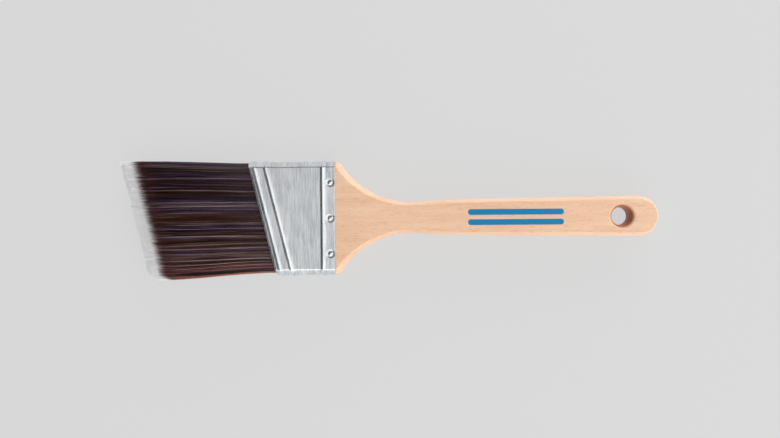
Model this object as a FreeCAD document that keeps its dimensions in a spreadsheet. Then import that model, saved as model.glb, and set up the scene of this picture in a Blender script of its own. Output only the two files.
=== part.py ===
"""Angled trim paint brush: wooden beaver-tail handle, pressed steel ferrule, nails and a bonded filament head.

Frame: +X runs along the brush to the hanging end, +Y to the long (toe) side of the angled head, +Z up.
The brush lies flat. The origin is on the plane it rests on, under the middle of its outline.
"""

import FreeCAD, Part

import math
import os

import Sketcher

# Driving dimensions in millimetres and degrees. X values are measured from the origin along the brush.
DIMENSIONS = {
    # ferrule
    "ferrule_width": 63.5,
    "ferrule_depth": 16.0,
    "side_radius": 10.9,
    "crease_radius": 0.8,
    "gauge": 0.5,
    "rear_edge_x": -29.85,
    "mouth_x": -70.35,
    "mouth_angle": 14.0,
    "toe_reach": 50.0,
    "seam_gap": 0.2,
    # pressed beads
    "bead_height": 0.6,
    "bead_width": 3.4,
    "bead_rounding": 0.5,
    "first_bead_setback": 3.4,
    "second_bead_setback": 9.6,
    "rear_bead_x": -36.3,
    # nails
    "nail_x": -32.5,
    "nail_pitch": 19.65,
    "shank_radius": 0.7,
    "shank_length": 6.4,
    "head_radius": 1.45,
    "head_rise": 0.45,
    "seat_radius": 1.95,
    "seat_sink": 0.35,
    # handle outline
    "shoulder_rounding": 3.6,
    "flare_radius": 46.5,
    "neck_x": 12.45,
    "neck_width": 17.5,
    "belly_radius": 1050.0,
    "belly_end_x": 70.0,
    "end_radius": 11.3,
    "end_x": 150.55,
    "edge_rounding": 3.2,
    # handle thickness
    "thin_start_x": -20.0,
    "thick_x": 62.0,
    "neck_depth": 14.6,
    "belly_depth": 15.4,
    "tail_depth": 13.8,
    "tang_depth": 16.0,
    # hanging hole
    "hang_x": 128.85,
    "throat_radius": 4.9,
    "throat_length": 3.0,
    "rim_radius": 7.0,
    # filament head
    "free_length": 71.9,
    "seated_length": 13.0,
    "butt_width": 60.4,
    "butt_depth": 13.2,
    "mouth_width": 62.3,
    "mouth_depth": 14.8,
    "swell_width": 63.6,
    "swell_depth": 15.4,
    "taper_width": 65.4,
    "taper_depth": 12.2,
    "tip_width": 66.6,
    "tip_depth": 3.8,
    "bank_half_width": 24.0,
    "bank_gap": 0.1,
    "bank_depth": 5.3,
    # plugs and glue
    "plug_depth": 2.6,
    "plug_front_setback": 1.5,
    "plug_rear_setback": 12.0,
    "glue_front_setback": 9.0,
    "glue_rear_x": -46.4,
}

SKETCH_ORIGIN = -1
START, END, CENTRE = 1, 2, 3
BEYOND = 20.0
UP = FreeCAD.Vector(0, 0, 1)

document = FreeCAD.newDocument("paint_brush")


def make_sheet():
    """The spreadsheet that every sketch and feature reads its sizes from."""
    sheet = document.addObject("Spreadsheet::Sheet", "sizes")
    for row, (alias, value) in enumerate(DIMENSIONS.items(), start=1):
        sheet.set(f"A{row}", alias)
        sheet.set(f"B{row}", str(value))
        sheet.setAlias(f"B{row}", alias)
    document.recompute()
    return sheet


sizes = make_sheet()


def cell(alias):
    """The number in the cell of that alias."""
    return float(sizes.get(alias))


def new_body(name, lifted=True):
    """A body whose own XY plane is the brush's middle plane, lifted so that the bead crests rest at Z 0."""
    body = document.addObject("PartDesign::Body", name)
    if lifted:
        lift(body)
    return body


def lift(feature):
    """Raises a feature that is modelled about the brush's middle plane to its height over the table."""
    feature.setExpression("Placement.Base.z", "sizes.ferrule_depth / 2 + sizes.bead_height")


def new_sketch(body, name, role):
    """A sketch on one of the body's own origin planes."""
    sketch = body.newObject("Sketcher::SketchObject", name)
    plane = next(feature for feature in body.Origin.OriginFeatures if feature.Role == role)
    sketch.AttachmentSupport = [(plane, "")]
    sketch.MapMode = "FlatFace"
    return sketch


def vector(x, y):
    return FreeCAD.Vector(x, y, 0)


def bind(sketch, kind, places, value, expression):
    """A dimension constraint at a start value, bound to an expression of the sheet."""
    index = sketch.addConstraint(Sketcher.Constraint(kind, *places, value))
    sketch.setExpression(f"Constraints[{index}]", expression)


def pin(sketch, edge, end, x, y, x_expression, y_expression):
    """Holds one end or centre of an edge at a place given from the sketch's origin."""
    bind(sketch, "DistanceX", (SKETCH_ORIGIN, START, edge, end), x, x_expression)
    bind(sketch, "DistanceY", (SKETCH_ORIGIN, START, edge, end), y, y_expression)


def closed_loop(sketch, points, middles, tangent_joints=()):
    """Lines through the points, or an arc where an edge has a middle point, joined end to start."""
    edges = []
    for index, start in enumerate(points):
        finish = points[(index + 1) % len(points)]
        if index in middles:
            curve = anticlockwise_arc(start, middles[index], finish, clockwise(points, middles, index))
        else:
            curve = Part.LineSegment(vector(*start), vector(*finish))
        edges.append(sketch.addGeometry(curve))
    for index, edge in enumerate(edges):
        following = edges[(index + 1) % len(edges)]
        joint = "Tangent" if index in tangent_joints else "Coincident"
        end, start = arc_ends(points, middles, index)
        sketch.addConstraint(Sketcher.Constraint(joint, edge, end, following, start))
    return edges


def anticlockwise_arc(start, middle, finish, drawn_clockwise):
    """The arc through three points, stored anticlockwise from angle zero, so its seam never falls near an end."""
    through = Part.Circle(vector(*start), vector(*middle), vector(*finish))
    centre = through.Center
    first, last = (finish, start) if drawn_clockwise else (start, finish)
    first_turn = math.atan2(first[1] - centre.y, first[0] - centre.x)
    last_turn = math.atan2(last[1] - centre.y, last[0] - centre.x)
    if last_turn < first_turn:
        last_turn += 2 * math.pi
    return Part.ArcOfCircle(Part.Circle(centre, UP, through.Radius), first_turn, last_turn)


def arc_ends(points, middles, index):
    """Which stored end of an edge is its last point, and which of the next edge is its first.

    A sketch stores an arc anticlockwise, so a clockwise one has its ends the other way round.
    """
    following = (index + 1) % len(points)
    last = START if clockwise(points, middles, index) else END
    first = END if clockwise(points, middles, following) else START
    return last, first


def clockwise(points, middles, index):
    """True for an edge that is an arc drawn clockwise."""
    if index not in middles:
        return False
    (ax, ay), (bx, by) = points[index], points[(index + 1) % len(points)]
    mx, my = middles[index]
    return (mx - ax) * (by - ay) - (my - ay) * (bx - ax) < 0


def sleeve_profile(sketch, grown, growth):
    """The ferrule's cross-section: flat faces, bulged sides and small creases, offset outward by the growth."""
    half_depth = cell("ferrule_depth") / 2
    side = cell("side_radius")
    crease = cell("crease_radius")
    side_y = cell("ferrule_width") / 2 - side
    crease_y = side_y + math.sqrt((side - crease) ** 2 - (half_depth - crease) ** 2)
    crease_z = half_depth - crease
    turn = math.atan2(crease_z, crease_y - side_y)
    middle_turn = (turn + math.pi / 2) / 2
    outer, corner = side + grown, crease + grown
    flat = (crease_y, half_depth + grown)
    shoulder = (side_y + outer * math.cos(turn), outer * math.sin(turn))
    blend = (crease_y + corner * math.cos(middle_turn), crease_z + corner * math.sin(middle_turn))
    points = []
    middles = {}
    # Clockwise from the left end of the upper face.
    for sign in (1, -1):
        points.append((-sign * flat[0], sign * flat[1]))
        middles[len(points)] = (sign * blend[0], sign * blend[1])
        points.append((sign * flat[0], sign * flat[1]))
        middles[len(points)] = (sign * (side_y + outer), 0)
        points.append((sign * shoulder[0], sign * shoulder[1]))
        middles[len(points)] = (sign * blend[0], -sign * blend[1])
        points.append((sign * shoulder[0], -sign * shoulder[1]))
    edges = closed_loop(sketch, points, middles, tangent_joints=range(8))
    for face, sign in ((0, 1), (4, -1)):
        sketch.addConstraint(Sketcher.Constraint("Horizontal", edges[face]))
        height = f"{sign} * (sizes.ferrule_depth / 2 + {growth})"
        bind(sketch, "DistanceY", (SKETCH_ORIGIN, START, edges[face], START), sign * flat[1], height)
        for rounding in (face + 1, face + 3):
            bind(sketch, "Radius", (edges[rounding],), corner, f"sizes.crease_radius + {growth}")
        bulge = edges[face + 2]
        bind(sketch, "Radius", (bulge,), outer, f"sizes.side_radius + {growth}")
        centre = f"{sign} * (sizes.ferrule_width / 2 - sizes.side_radius)"
        pin(sketch, bulge, CENTRE, sign * side_y, 0, centre, "0")


def sleeve_blank(name, grown, growth, front, rear):
    """A straight prism of the offset section between two X planes given as expressions."""
    body = new_body(name)
    section = new_sketch(body, f"{name}_section", "YZ_Plane")
    sleeve_profile(section, grown, growth)
    section.setExpression("AttachmentOffset.Base.z", front)
    pad = body.newObject("PartDesign::Pad", f"{name}_pad")
    pad.Profile = section
    pad.setExpression("Length", f"({rear}) - ({front})")
    return body


def strip_pocket(body, name, strips):
    """Cuts away the slanted or straight strips of the body, seen from above, through its whole depth.

    Each strip is (front expression on the axis, its value, rear expression, its value, slanted front, slanted rear).
    """
    half = cell("ferrule_width")
    lean = math.tan(math.radians(cell("mouth_angle")))
    sketch = new_sketch(body, f"{name}_strips", "XY_Plane")
    for front, front_x, rear, rear_x, front_slants, rear_slants in strips:
        corners = []
        bindings = []
        places = (
            (front, front_x, front_slants, -1),
            (front, front_x, front_slants, 1),
            (rear, rear_x, rear_slants, 1),
            (rear, rear_x, rear_slants, -1),
        )
        for expression, x, slants, side in places:
            shift = -side * half * lean if slants else 0
            slant = f" - {side} * sizes.ferrule_width * tan(sizes.mouth_angle * 1 deg)" if slants else ""
            corners.append((x + shift, side * half))
            bindings.append((expression + slant, f"{side} * sizes.ferrule_width"))
        edges = closed_loop(sketch, corners, {})
        for edge, corner, (x_expression, y_expression) in zip(edges, corners, bindings):
            pin(sketch, edge, START, corner[0], corner[1], x_expression, y_expression)
    pocket = body.newObject("PartDesign::Pocket", f"{name}_cut")
    pocket.Profile = sketch
    pocket.Type = "ThroughAll"
    pocket.Midplane = True
    return pocket


def bead_rings(name, grown, growth, width, width_expression, rounding):
    """The two slanted beads at the mouth and the straight one at the rear, as separate rings round the sleeve."""
    body = sleeve_blank(name, grown, growth, "sizes.mouth_x - sizes.ferrule_width", "sizes.rear_edge_x")
    centres = []
    for setback in ("first_bead_setback", "second_bead_setback"):
        centres.append((f"sizes.mouth_x + sizes.{setback}", cell("mouth_x") + cell(setback), True))
    centres.append(("sizes.rear_bead_x", cell("rear_bead_x"), False))
    strips = []
    edge, edge_x, slants = "sizes.mouth_x - 3 * sizes.ferrule_width", -260.0, True
    for centre, centre_x, centre_slants in centres:
        front = f"{centre} - {width_expression} / 2"
        strips.append((edge, edge_x, front, centre_x - width / 2, slants, centre_slants))
        edge, edge_x, slants = f"{centre} + {width_expression} / 2", centre_x + width / 2, centre_slants
    strips.append((edge, edge_x, "sizes.rear_edge_x + 5", cell("rear_edge_x") + 5, slants, False))
    strip_pocket(body, name, strips)
    document.recompute()
    if rounding:
        rims = []
        for index, rim in enumerate(body.Shape.Edges, start=1):
            if rim.BoundBox.XLength < 0.5 * body.Shape.BoundBox.XLength and not runs_along(rim):
                rims.append(f"Edge{index}")
        round_edges(body, f"{name}_rounding", rims, rounding)
    return body


def round_edges(body, name, edges, radius):
    """A fillet over named edges of the body's last feature."""
    base = body.Tip
    fillet = body.newObject("PartDesign::Fillet", name)
    fillet.Base = (base, edges)
    fillet.setExpression("Radius", radius)


def runs_along(edge):
    """True for a straight edge parallel to the brush."""
    start, finish = edge.Vertexes[0].Point, edge.Vertexes[-1].Point
    step = finish - start
    return abs(step.y) < 1e-4 and abs(step.z) < 1e-4 and step.Length > 0


def joined(kind, name, shapes):
    """A boolean of several features."""
    feature = document.addObject(kind, name)
    feature.Shapes = shapes
    return feature


def difference(name, base, tool):
    feature = document.addObject("Part::Cut", name)
    feature.Base = base
    feature.Tool = tool
    return feature


def nail_places():
    """Index and sign pairs: three nails on each face, side +1 for the upper face."""
    return [(place, side) for side in (1, -1) for place in (-1, 0, 1)]


def place_nail_feature(feature, place, height, turned=False):
    """Puts a feature on a nail's axis, its base at a height given as an expression from the middle plane."""
    feature.setExpression("Placement.Base.x", "sizes.nail_x")
    feature.setExpression("Placement.Base.y", f"{place} * sizes.nail_pitch")
    middle = "sizes.ferrule_depth / 2 + sizes.bead_height"
    feature.setExpression("Placement.Base.z", f"{middle} + {height}")
    if turned:
        feature.Placement.Rotation = FreeCAD.Rotation(FreeCAD.Vector(1, 0, 0), 180)


def make_ferrule():
    """A folded sheet sleeve with pressed beads, a butt seam on the short side and dimples under the nails."""
    sleeve = sleeve_blank("sleeve", 0.0, "0", "sizes.rear_edge_x - sizes.toe_reach", "sizes.rear_edge_x")
    far = "sizes.mouth_x - 3 * sizes.ferrule_width"
    strip_pocket(sleeve, "mouth", [(far, -260.0, "sizes.mouth_x", cell("mouth_x"), True, True)])
    height, gauge = cell("bead_height"), cell("gauge")
    ridges = bead_rings(
        "bead_ridges", height, "sizes.bead_height", cell("bead_width"), "sizes.bead_width", "sizes.bead_rounding"
    )
    hollow_width = cell("bead_width") - 2 * gauge
    hollows = bead_rings(
        "bead_hollows",
        height - gauge,
        "sizes.bead_height - sizes.gauge",
        hollow_width,
        "(sizes.bead_width - 2 * sizes.gauge)",
        None,
    )
    core = sleeve_blank(
        "sleeve_core",
        -gauge,
        "-1 * sizes.gauge",
        "sizes.rear_edge_x - sizes.ferrule_width * 1.5",
        "sizes.rear_edge_x + 5",
    )
    outside = joined("Part::MultiFuse", "sleeve_outside", [sleeve, ridges])
    inside = joined("Part::MultiFuse", "sleeve_inside", [core, hollows])
    shell = difference("sleeve_shell", outside, inside)
    cuts = []
    seam = document.addObject("Part::Box", "seam_slit")
    seam.setExpression("Length", "sizes.ferrule_width * 2")
    seam.setExpression("Width", "sizes.ferrule_width / 4")
    seam.setExpression("Height", "sizes.seam_gap")
    seam.setExpression("Placement.Base.x", "sizes.rear_edge_x - sizes.ferrule_width * 1.5")
    seam.setExpression("Placement.Base.y", "-sizes.ferrule_width * 0.7")
    seam.setExpression("Placement.Base.z", "sizes.ferrule_depth / 2 + sizes.bead_height - sizes.seam_gap / 2")
    cuts.append(seam)
    for place, side in nail_places():
        seat = document.addObject("Part::Cone", f"nail_seat_{len(cuts)}")
        seat.setExpression("Radius1", "sizes.head_radius")
        seat.setExpression("Radius2", "sizes.seat_radius")
        seat.setExpression("Height", "sizes.seat_sink")
        place_nail_feature(seat, place, f"{side} * (sizes.ferrule_depth / 2 - sizes.seat_sink)", side < 0)
        cuts.append(seat)
    for place in (-1, 0, 1):
        drilling = document.addObject("Part::Cylinder", f"nail_hole_{place + 2}")
        drilling.setExpression("Radius", "sizes.shank_radius")
        drilling.setExpression("Height", "sizes.ferrule_depth * 2")
        place_nail_feature(drilling, place, "-1 * sizes.ferrule_depth")
        cuts.append(drilling)
    openings = joined("Part::MultiFuse", "ferrule_openings", cuts)
    return difference("ferrule", shell, openings)


def make_nails(name, side):
    """Three domed nails that hold one face of the ferrule to the tang."""
    pieces = []
    rise, radius = cell("head_rise"), cell("head_radius")
    ball = f"((sizes.head_rise ^ 2 + sizes.head_radius ^ 2) / (2 * sizes.head_rise))"
    ball_radius = (rise**2 + radius**2) / (2 * rise)
    seat_height = "(sizes.ferrule_depth / 2 - sizes.seat_sink)"
    for place in (-1, 0, 1):
        shank = document.addObject("Part::Cylinder", f"{name}_shank")
        shank.setExpression("Radius", "sizes.shank_radius")
        shank.setExpression("Height", "sizes.shank_length")
        base = seat_height if side < 0 else f"({seat_height} - sizes.shank_length)"
        place_nail_feature(shank, place, f"{side} * {base}" if side > 0 else f"-1 * {seat_height}")
        dome = document.addObject("Part::Sphere", f"{name}_dome")
        dome.setExpression("Radius", ball)
        dome.Angle1 = math.degrees(math.asin((ball_radius - rise) / ball_radius))
        dome.Angle2 = 90
        turned = side < 0
        place_nail_feature(dome, place, f"{side} * ({seat_height} - {ball} + sizes.head_rise)", turned)
        pieces += [shank, dome]
    return joined("Part::MultiFuse", name, pieces)


def handle_outline(sketch):
    """The handle from above: square shoulder, concave flare to the neck, long belly and round end."""
    shoulder_x, half_width = cell("rear_edge_x"), cell("ferrule_width") / 2
    rounding, flare = cell("shoulder_rounding"), cell("flare_radius")
    neck_x, neck_half = cell("neck_x"), cell("neck_width") / 2
    belly, belly_end = cell("belly_radius"), cell("belly_end_x")
    end_radius, end_x = cell("end_radius"), cell("end_x")
    cap_x = end_x - end_radius
    flare_y = neck_half + flare
    # The corner's centre is a rounding below the flat side and both radii from the flare's centre.
    corner_y = half_width - rounding
    corner_x = neck_x - math.sqrt((flare + rounding) ** 2 - (flare_y - corner_y) ** 2)
    corner_turn = math.atan2(flare_y - corner_y, neck_x - corner_x)
    corner_join = (corner_x + rounding * math.cos(corner_turn), corner_y + rounding * math.sin(corner_turn))
    corner_middle_turn = (corner_turn + math.pi / 2) / 2
    corner_middle = (
        corner_x + rounding * math.cos(corner_middle_turn),
        corner_y + rounding * math.sin(corner_middle_turn),
    )
    rise = 0.06
    flare_join = (neck_x + flare * math.sin(rise), flare_y - flare * math.cos(rise))
    flare_middle_turn = (math.pi + corner_turn + math.pi * 1.5 + rise) / 2
    flare_middle = (
        neck_x + flare * math.cos(flare_middle_turn),
        flare_y + flare * math.sin(flare_middle_turn),
    )
    taper = 0.01
    belly_half = end_radius - taper * (cap_x - belly_end)
    middle_x = (flare_join[0] + belly_end) / 2
    sag = (belly_end - flare_join[0]) ** 2 / (8 * belly)
    belly_middle = (middle_x, (flare_join[1] + belly_half) / 2 + sag)
    upper = [
        (shoulder_x, half_width),
        (corner_x, half_width),
        corner_join,
        flare_join,
        (belly_end, belly_half),
        (cap_x, end_radius),
    ]
    lower = [(x, -y) for x, y in reversed(upper)]
    points = upper + lower
    middles = {1: corner_middle, 2: flare_middle, 3: belly_middle, 5: (end_x, 0)}
    for edge, (x, y) in list(middles.items())[:3]:
        middles[10 - edge] = (x, -y)
    edges = closed_loop(sketch, points, middles, tangent_joints=range(10))
    shoulder = edges[11]
    sketch.addConstraint(Sketcher.Constraint("Vertical", shoulder))
    bind(sketch, "DistanceX", (SKETCH_ORIGIN, START, shoulder, START), shoulder_x, "sizes.rear_edge_x")
    for side, flat, corner, sweep, bulge in ((1, 0, 1, 2, 3), (-1, 10, 9, 8, 7)):
        sketch.addConstraint(Sketcher.Constraint("Horizontal", edges[flat]))
        height = f"{side} * sizes.ferrule_width / 2"
        bind(sketch, "DistanceY", (SKETCH_ORIGIN, START, edges[flat], START), side * half_width, height)
        bind(sketch, "Radius", (edges[corner],), rounding, "sizes.shoulder_rounding")
        bind(sketch, "Radius", (edges[sweep],), flare, "sizes.flare_radius")
        centre_height = f"{side} * (sizes.neck_width / 2 + sizes.flare_radius)"
        pin(sketch, edges[sweep], CENTRE, neck_x, side * flare_y, "sizes.neck_x", centre_height)
        bind(sketch, "Radius", (edges[bulge],), belly, "sizes.belly_radius")
        # The belly is stored anticlockwise, so its far end is its start above the axis and its end below.
        far_end = START if side > 0 else END
        bind(sketch, "DistanceX", (SKETCH_ORIGIN, START, edges[bulge], far_end), belly_end, "sizes.belly_end_x")
    cap = edges[5]
    bind(sketch, "Radius", (cap,), end_radius, "sizes.end_radius")
    pin(sketch, cap, CENTRE, cap_x, 0, "sizes.end_x - sizes.end_radius", "0")


def side_relief(body):
    """Thins the handle from the shoulder to the neck and again to the end, the same above and below."""
    end_x = cell("end_x")
    stations = [
        ("sizes.thin_start_x", cell("thin_start_x"), "sizes.ferrule_depth / 2", cell("ferrule_depth") / 2),
        ("sizes.thick_x", cell("thick_x"), "sizes.belly_depth / 2", cell("belly_depth") / 2),
        ("sizes.end_x + 2", end_x + 2, "sizes.tail_depth / 2", cell("tail_depth") / 2),
    ]
    neck = (cell("neck_x") + 6, cell("neck_depth") / 2)
    tail_middle = ((cell("thick_x") + end_x) / 2, (cell("belly_depth") * 0.65 + cell("tail_depth") * 0.35) / 2)
    sketch = new_sketch(body, "handle_relief", "XZ_Plane")
    for side in (1, -1):
        points = [(x, side * z) for _, x, _, z in stations]
        points += [(end_x + 2, side * BEYOND), (stations[0][1], side * BEYOND)]
        middles = {0: (neck[0], side * neck[1]), 1: (tail_middle[0], side * tail_middle[1])}
        edges = closed_loop(sketch, points, middles)
        for index, (x_expression, x, z_expression, z) in enumerate(stations):
            # The following edge's line end is free of the arcs' own order.
            stored = arc_ends(points, middles, index - 1)[1]
            pin(sketch, edges[index], stored, x, side * z, x_expression, f"{side} * {z_expression}")
        outer = f"{side} * {BEYOND}"
        pin(sketch, edges[3], START, end_x + 2, side * BEYOND, "sizes.end_x + 2", outer)
        pin(sketch, edges[4], START, stations[0][1], side * BEYOND, "sizes.thin_start_x", outer)
        for arc in (0, 1):
            radius = sketch.Geometry[edges[arc]].Radius
            sketch.addConstraint(Sketcher.Constraint("Radius", edges[arc], radius))
    pocket = body.newObject("PartDesign::Pocket", "handle_relief_cut")
    pocket.Profile = sketch
    pocket.Type = "ThroughAll"
    pocket.Midplane = True


def round_long_edges(body):
    """Rounds the outline edges of both faces, from the shoulder right round the end."""
    rims = []
    half_width = cell("ferrule_width") / 2
    for index, edge in enumerate(body.Shape.Edges, start=1):
        box = edge.BoundBox
        flat_lying = box.ZLength < 1.0 and min(abs(box.ZMin), abs(box.ZMax)) > 0
        across_face = box.YLength > half_width or (box.YMin < 0 < box.YMax and box.XLength < 0.01)
        if flat_lying and not across_face:
            rims.append(f"Edge{index}")
    round_edges(body, "handle_rounding", rims, "sizes.edge_rounding")


def make_handle():
    """The beech handle, with its tang inside the ferrule, the nail holes and the hanging hole."""
    body = new_body("handle")
    outline = new_sketch(body, "handle_plan", "XY_Plane")
    handle_outline(outline)
    slab = body.newObject("PartDesign::Pad", "handle_slab")
    slab.Profile = outline
    slab.setExpression("Length", "sizes.ferrule_depth")
    slab.Midplane = True
    document.recompute()
    round_long_edges(body)
    side_relief(body)
    trim_shoulder(body)
    add_tang(body)
    drill_hang_hole(body)
    return body


def trim_shoulder(body):
    """Brings the shoulder to the ferrule's own section, so that the wood meets the sheet flush."""
    sketch = new_sketch(body, "shoulder_trim", "YZ_Plane")
    sleeve_profile(sketch, 0.0, "0")
    reach = cell("ferrule_width")
    frame = [(-reach, BEYOND), (reach, BEYOND), (reach, -BEYOND), (-reach, -BEYOND)]
    edges = closed_loop(sketch, frame, {})
    for edge, (x, y) in zip(edges, frame):
        side = 1 if x > 0 else -1
        pin(sketch, edge, START, x, y, f"{side} * sizes.ferrule_width", f"{y}")
    pocket = body.newObject("PartDesign::Pocket", "shoulder_trim_cut")
    pocket.Profile = sketch
    pocket.Type = "ThroughAll"
    pocket.Midplane = True


def add_tang(body):
    """The reduced end that the ferrule is nailed to, with one through hole for each pair of nails."""
    section = new_sketch(body, "tang_section", "YZ_Plane")
    sleeve_profile(section, -cell("gauge"), "-1 * sizes.gauge")
    section.setExpression("AttachmentOffset.Base.z", "sizes.rear_edge_x - sizes.tang_depth")
    tang = body.newObject("PartDesign::Pad", "tang_pad")
    tang.Profile = section
    tang.setExpression("Length", "sizes.tang_depth + 1")
    sketch = new_sketch(body, "nail_drillings", "XY_Plane")
    for place in (-1, 0, 1):
        y = place * cell("nail_pitch")
        edge = sketch.addGeometry(Part.Circle(vector(cell("nail_x"), y), UP, cell("shank_radius")))
        pin(sketch, edge, CENTRE, cell("nail_x"), y, "sizes.nail_x", f"{place} * sizes.nail_pitch")
        bind(sketch, "Radius", (edge,), cell("shank_radius"), "sizes.shank_radius")
    drilling = body.newObject("PartDesign::Pocket", "nail_drilling_cut")
    drilling.Profile = sketch
    drilling.Type = "ThroughAll"
    drilling.Midplane = True


def drill_hang_hole(body):
    """A short cylindrical throat that flares out to both faces."""
    throat, rim = cell("throat_radius"), cell("rim_radius")
    half_throat = cell("throat_length") / 2
    face = cell("tail_depth") / 2 + 0.3
    flare = ((rim - throat) ** 2 + (face - half_throat) ** 2) / (2 * (rim - throat))
    turn = math.asin((face - half_throat) / flare) / 2
    middle = (throat + flare * (1 - math.cos(turn)), half_throat + flare * math.sin(turn))
    points = [(0, -BEYOND), (rim, -BEYOND), (rim, -face), (throat, -half_throat)]
    points += [(throat, half_throat), (rim, face), (rim, BEYOND), (0, BEYOND)]
    middles = {2: (middle[0], -middle[1]), 4: middle}
    hang_x = cell("hang_x")
    points = [(hang_x + x, z) for x, z in points]
    middles = {edge: (hang_x + x, z) for edge, (x, z) in middles.items()}
    sketch = new_sketch(body, "hang_hole_profile", "XZ_Plane")
    edges = closed_loop(sketch, points, middles)
    face_height = "(sizes.tail_depth / 2 + 0.3)"
    places = (
        (0, START, "0", f"-{BEYOND}"),
        (1, START, "sizes.rim_radius", f"-{BEYOND}"),
        (1, END, "sizes.rim_radius", f"-1 * {face_height}"),
        (3, START, "sizes.throat_radius", "-1 * sizes.throat_length / 2"),
        (3, END, "sizes.throat_radius", "sizes.throat_length / 2"),
        (5, START, "sizes.rim_radius", face_height),
        (6, START, "sizes.rim_radius", f"{BEYOND}"),
        (7, START, "0", f"{BEYOND}"),
    )
    corner_of = {(0, START): 0, (1, START): 1, (1, END): 2, (3, START): 3, (3, END): 4, (5, START): 5}
    corner_of.update({(6, START): 6, (7, START): 7})
    for edge, end, x_expression, z_expression in places:
        x, z = points[corner_of[(edge, end)]]
        pin(sketch, edges[edge], end, x, z, f"sizes.hang_x + {x_expression}", z_expression)
    for arc in (2, 4):
        sketch.addConstraint(Sketcher.Constraint("Radius", edges[arc], flare))
    groove = body.newObject("PartDesign::Groove", "hang_hole")
    groove.Profile = sketch
    groove.ReferenceAxis = (sketch, [f"Edge{edges[7] + 1}"])
    groove.Angle = 360


def head_section(body, name, setback, width, depth):
    """One cross-section of the filament head, in a plane parallel to the ferrule's mouth."""
    sketch = new_sketch(body, name, "YZ_Plane")
    half_width = cell(width) / 2 / math.cos(math.radians(cell("mouth_angle")))
    half_depth = cell(depth) / 2
    bulge = half_depth * 0.45
    flat = half_width - bulge
    points = [(-flat, half_depth), (flat, half_depth), (flat, -half_depth), (-flat, -half_depth)]
    middles = {1: (half_width, 0), 3: (-half_width, 0)}
    edges = closed_loop(sketch, points, middles)
    flat_expression = f"(sizes.{width} / 2 / cos(sizes.mouth_angle * 1 deg) - 0.45 * sizes.{depth} / 2)"
    for edge, x_side, z_side, end in ((0, -1, 1, START), (0, 1, 1, END), (2, 1, -1, START), (2, -1, -1, END)):
        x_expression = f"{x_side} * {flat_expression}"
        z_expression = f"{z_side} * sizes.{depth} / 2"
        pin(sketch, edges[edge], end, x_side * flat, z_side * half_depth, x_expression, z_expression)
    radius = (half_depth**2 + bulge**2) / (2 * bulge)
    for arc in (1, 3):
        bind(sketch, "Radius", (edges[arc],), radius, f"(1 + 0.45 ^ 2) / (2 * 0.45) * sizes.{depth} / 2")
    turn = FreeCAD.Rotation(FreeCAD.Vector(0, 1, 0), cell("mouth_angle"))
    sketch.AttachmentOffset = FreeCAD.Placement(FreeCAD.Vector(0, 0, 0), turn)
    sketch.setExpression("AttachmentOffset.Base.z", f"sizes.mouth_x - ({setback})")
    return sketch


def make_head():
    """The whole filament head as one body, which the banks are cut from."""
    body = new_body("filament_head")
    stations = (
        ("butts", "-1 * sizes.seated_length", "butt_width", "butt_depth"),
        ("mouth", "0", "mouth_width", "mouth_depth"),
        ("swell", "sizes.free_length * 0.3", "swell_width", "swell_depth"),
        ("taper", "sizes.free_length * 0.7", "taper_width", "taper_depth"),
        ("tips", "sizes.free_length", "tip_width", "tip_depth"),
    )
    sections = [head_section(body, f"head_{name}", *rest) for name, *rest in stations]
    loft = body.newObject("PartDesign::AdditiveLoft", "head_loft")
    loft.Profile = sections[0]
    loft.Sections = sections[1:]
    return body


def layer(name, corners):
    """A slab across the brush whose side view is the polygon, corners as (x, x expression, z, z expression)."""
    body = new_body(name)
    sketch = new_sketch(body, f"{name}_side", "XZ_Plane")
    edges = closed_loop(sketch, [(x, z) for x, _, z, _ in corners], {})
    for edge, (x, x_expression, z, z_expression) in zip(edges, corners):
        pin(sketch, edge, START, x, z, x_expression, z_expression)
    pad = body.newObject("PartDesign::Pad", f"{name}_pad")
    pad.Profile = sketch
    pad.setExpression("Length", "2 * sizes.bank_half_width - sizes.bank_gap")
    pad.Midplane = True
    return body


def bank_layers():
    """The three layers of the head between the plugs: they narrow together from the mouth to the tips."""
    gap, split = cell("bank_gap") / 2, cell("bank_depth") / 2
    tip_split = cell("tip_depth") / 6
    rear_x, mouth_x = cell("rear_edge_x"), cell("mouth_x")
    tip_x = mouth_x - cell("free_length") - BEYOND
    rear = (rear_x, "sizes.rear_edge_x")
    mouth = (mouth_x, "sizes.mouth_x")
    tip = (tip_x, f"sizes.mouth_x - sizes.free_length - {BEYOND}")
    layers = {}
    for name, side in (("front", 1), ("back", -1)):
        near = (side * (split + gap), f"{side} * (sizes.bank_depth + sizes.bank_gap) / 2")
        thin = (side * (tip_split + gap), f"{side} * (sizes.tip_depth / 6 + sizes.bank_gap / 2)")
        outside = (side * BEYOND, f"{side} * {BEYOND}")
        corners = [rear + near, mouth + near, tip + thin, tip + outside, rear + outside]
        layers[name] = layer(f"{name}_layer", corners)
    upper = (split - gap, "(sizes.bank_depth - sizes.bank_gap) / 2")
    lower = (-split + gap, "-1 * (sizes.bank_depth - sizes.bank_gap) / 2")
    upper_tip = (tip_split - gap, "sizes.tip_depth / 6 - sizes.bank_gap / 2")
    lower_tip = (-tip_split + gap, "-1 * (sizes.tip_depth / 6 - sizes.bank_gap / 2)")
    corners = [rear + upper, mouth + upper, tip + upper_tip, tip + lower_tip, mouth + lower, rear + lower]
    layers["middle"] = layer("middle_layer", corners)
    return layers


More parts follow.
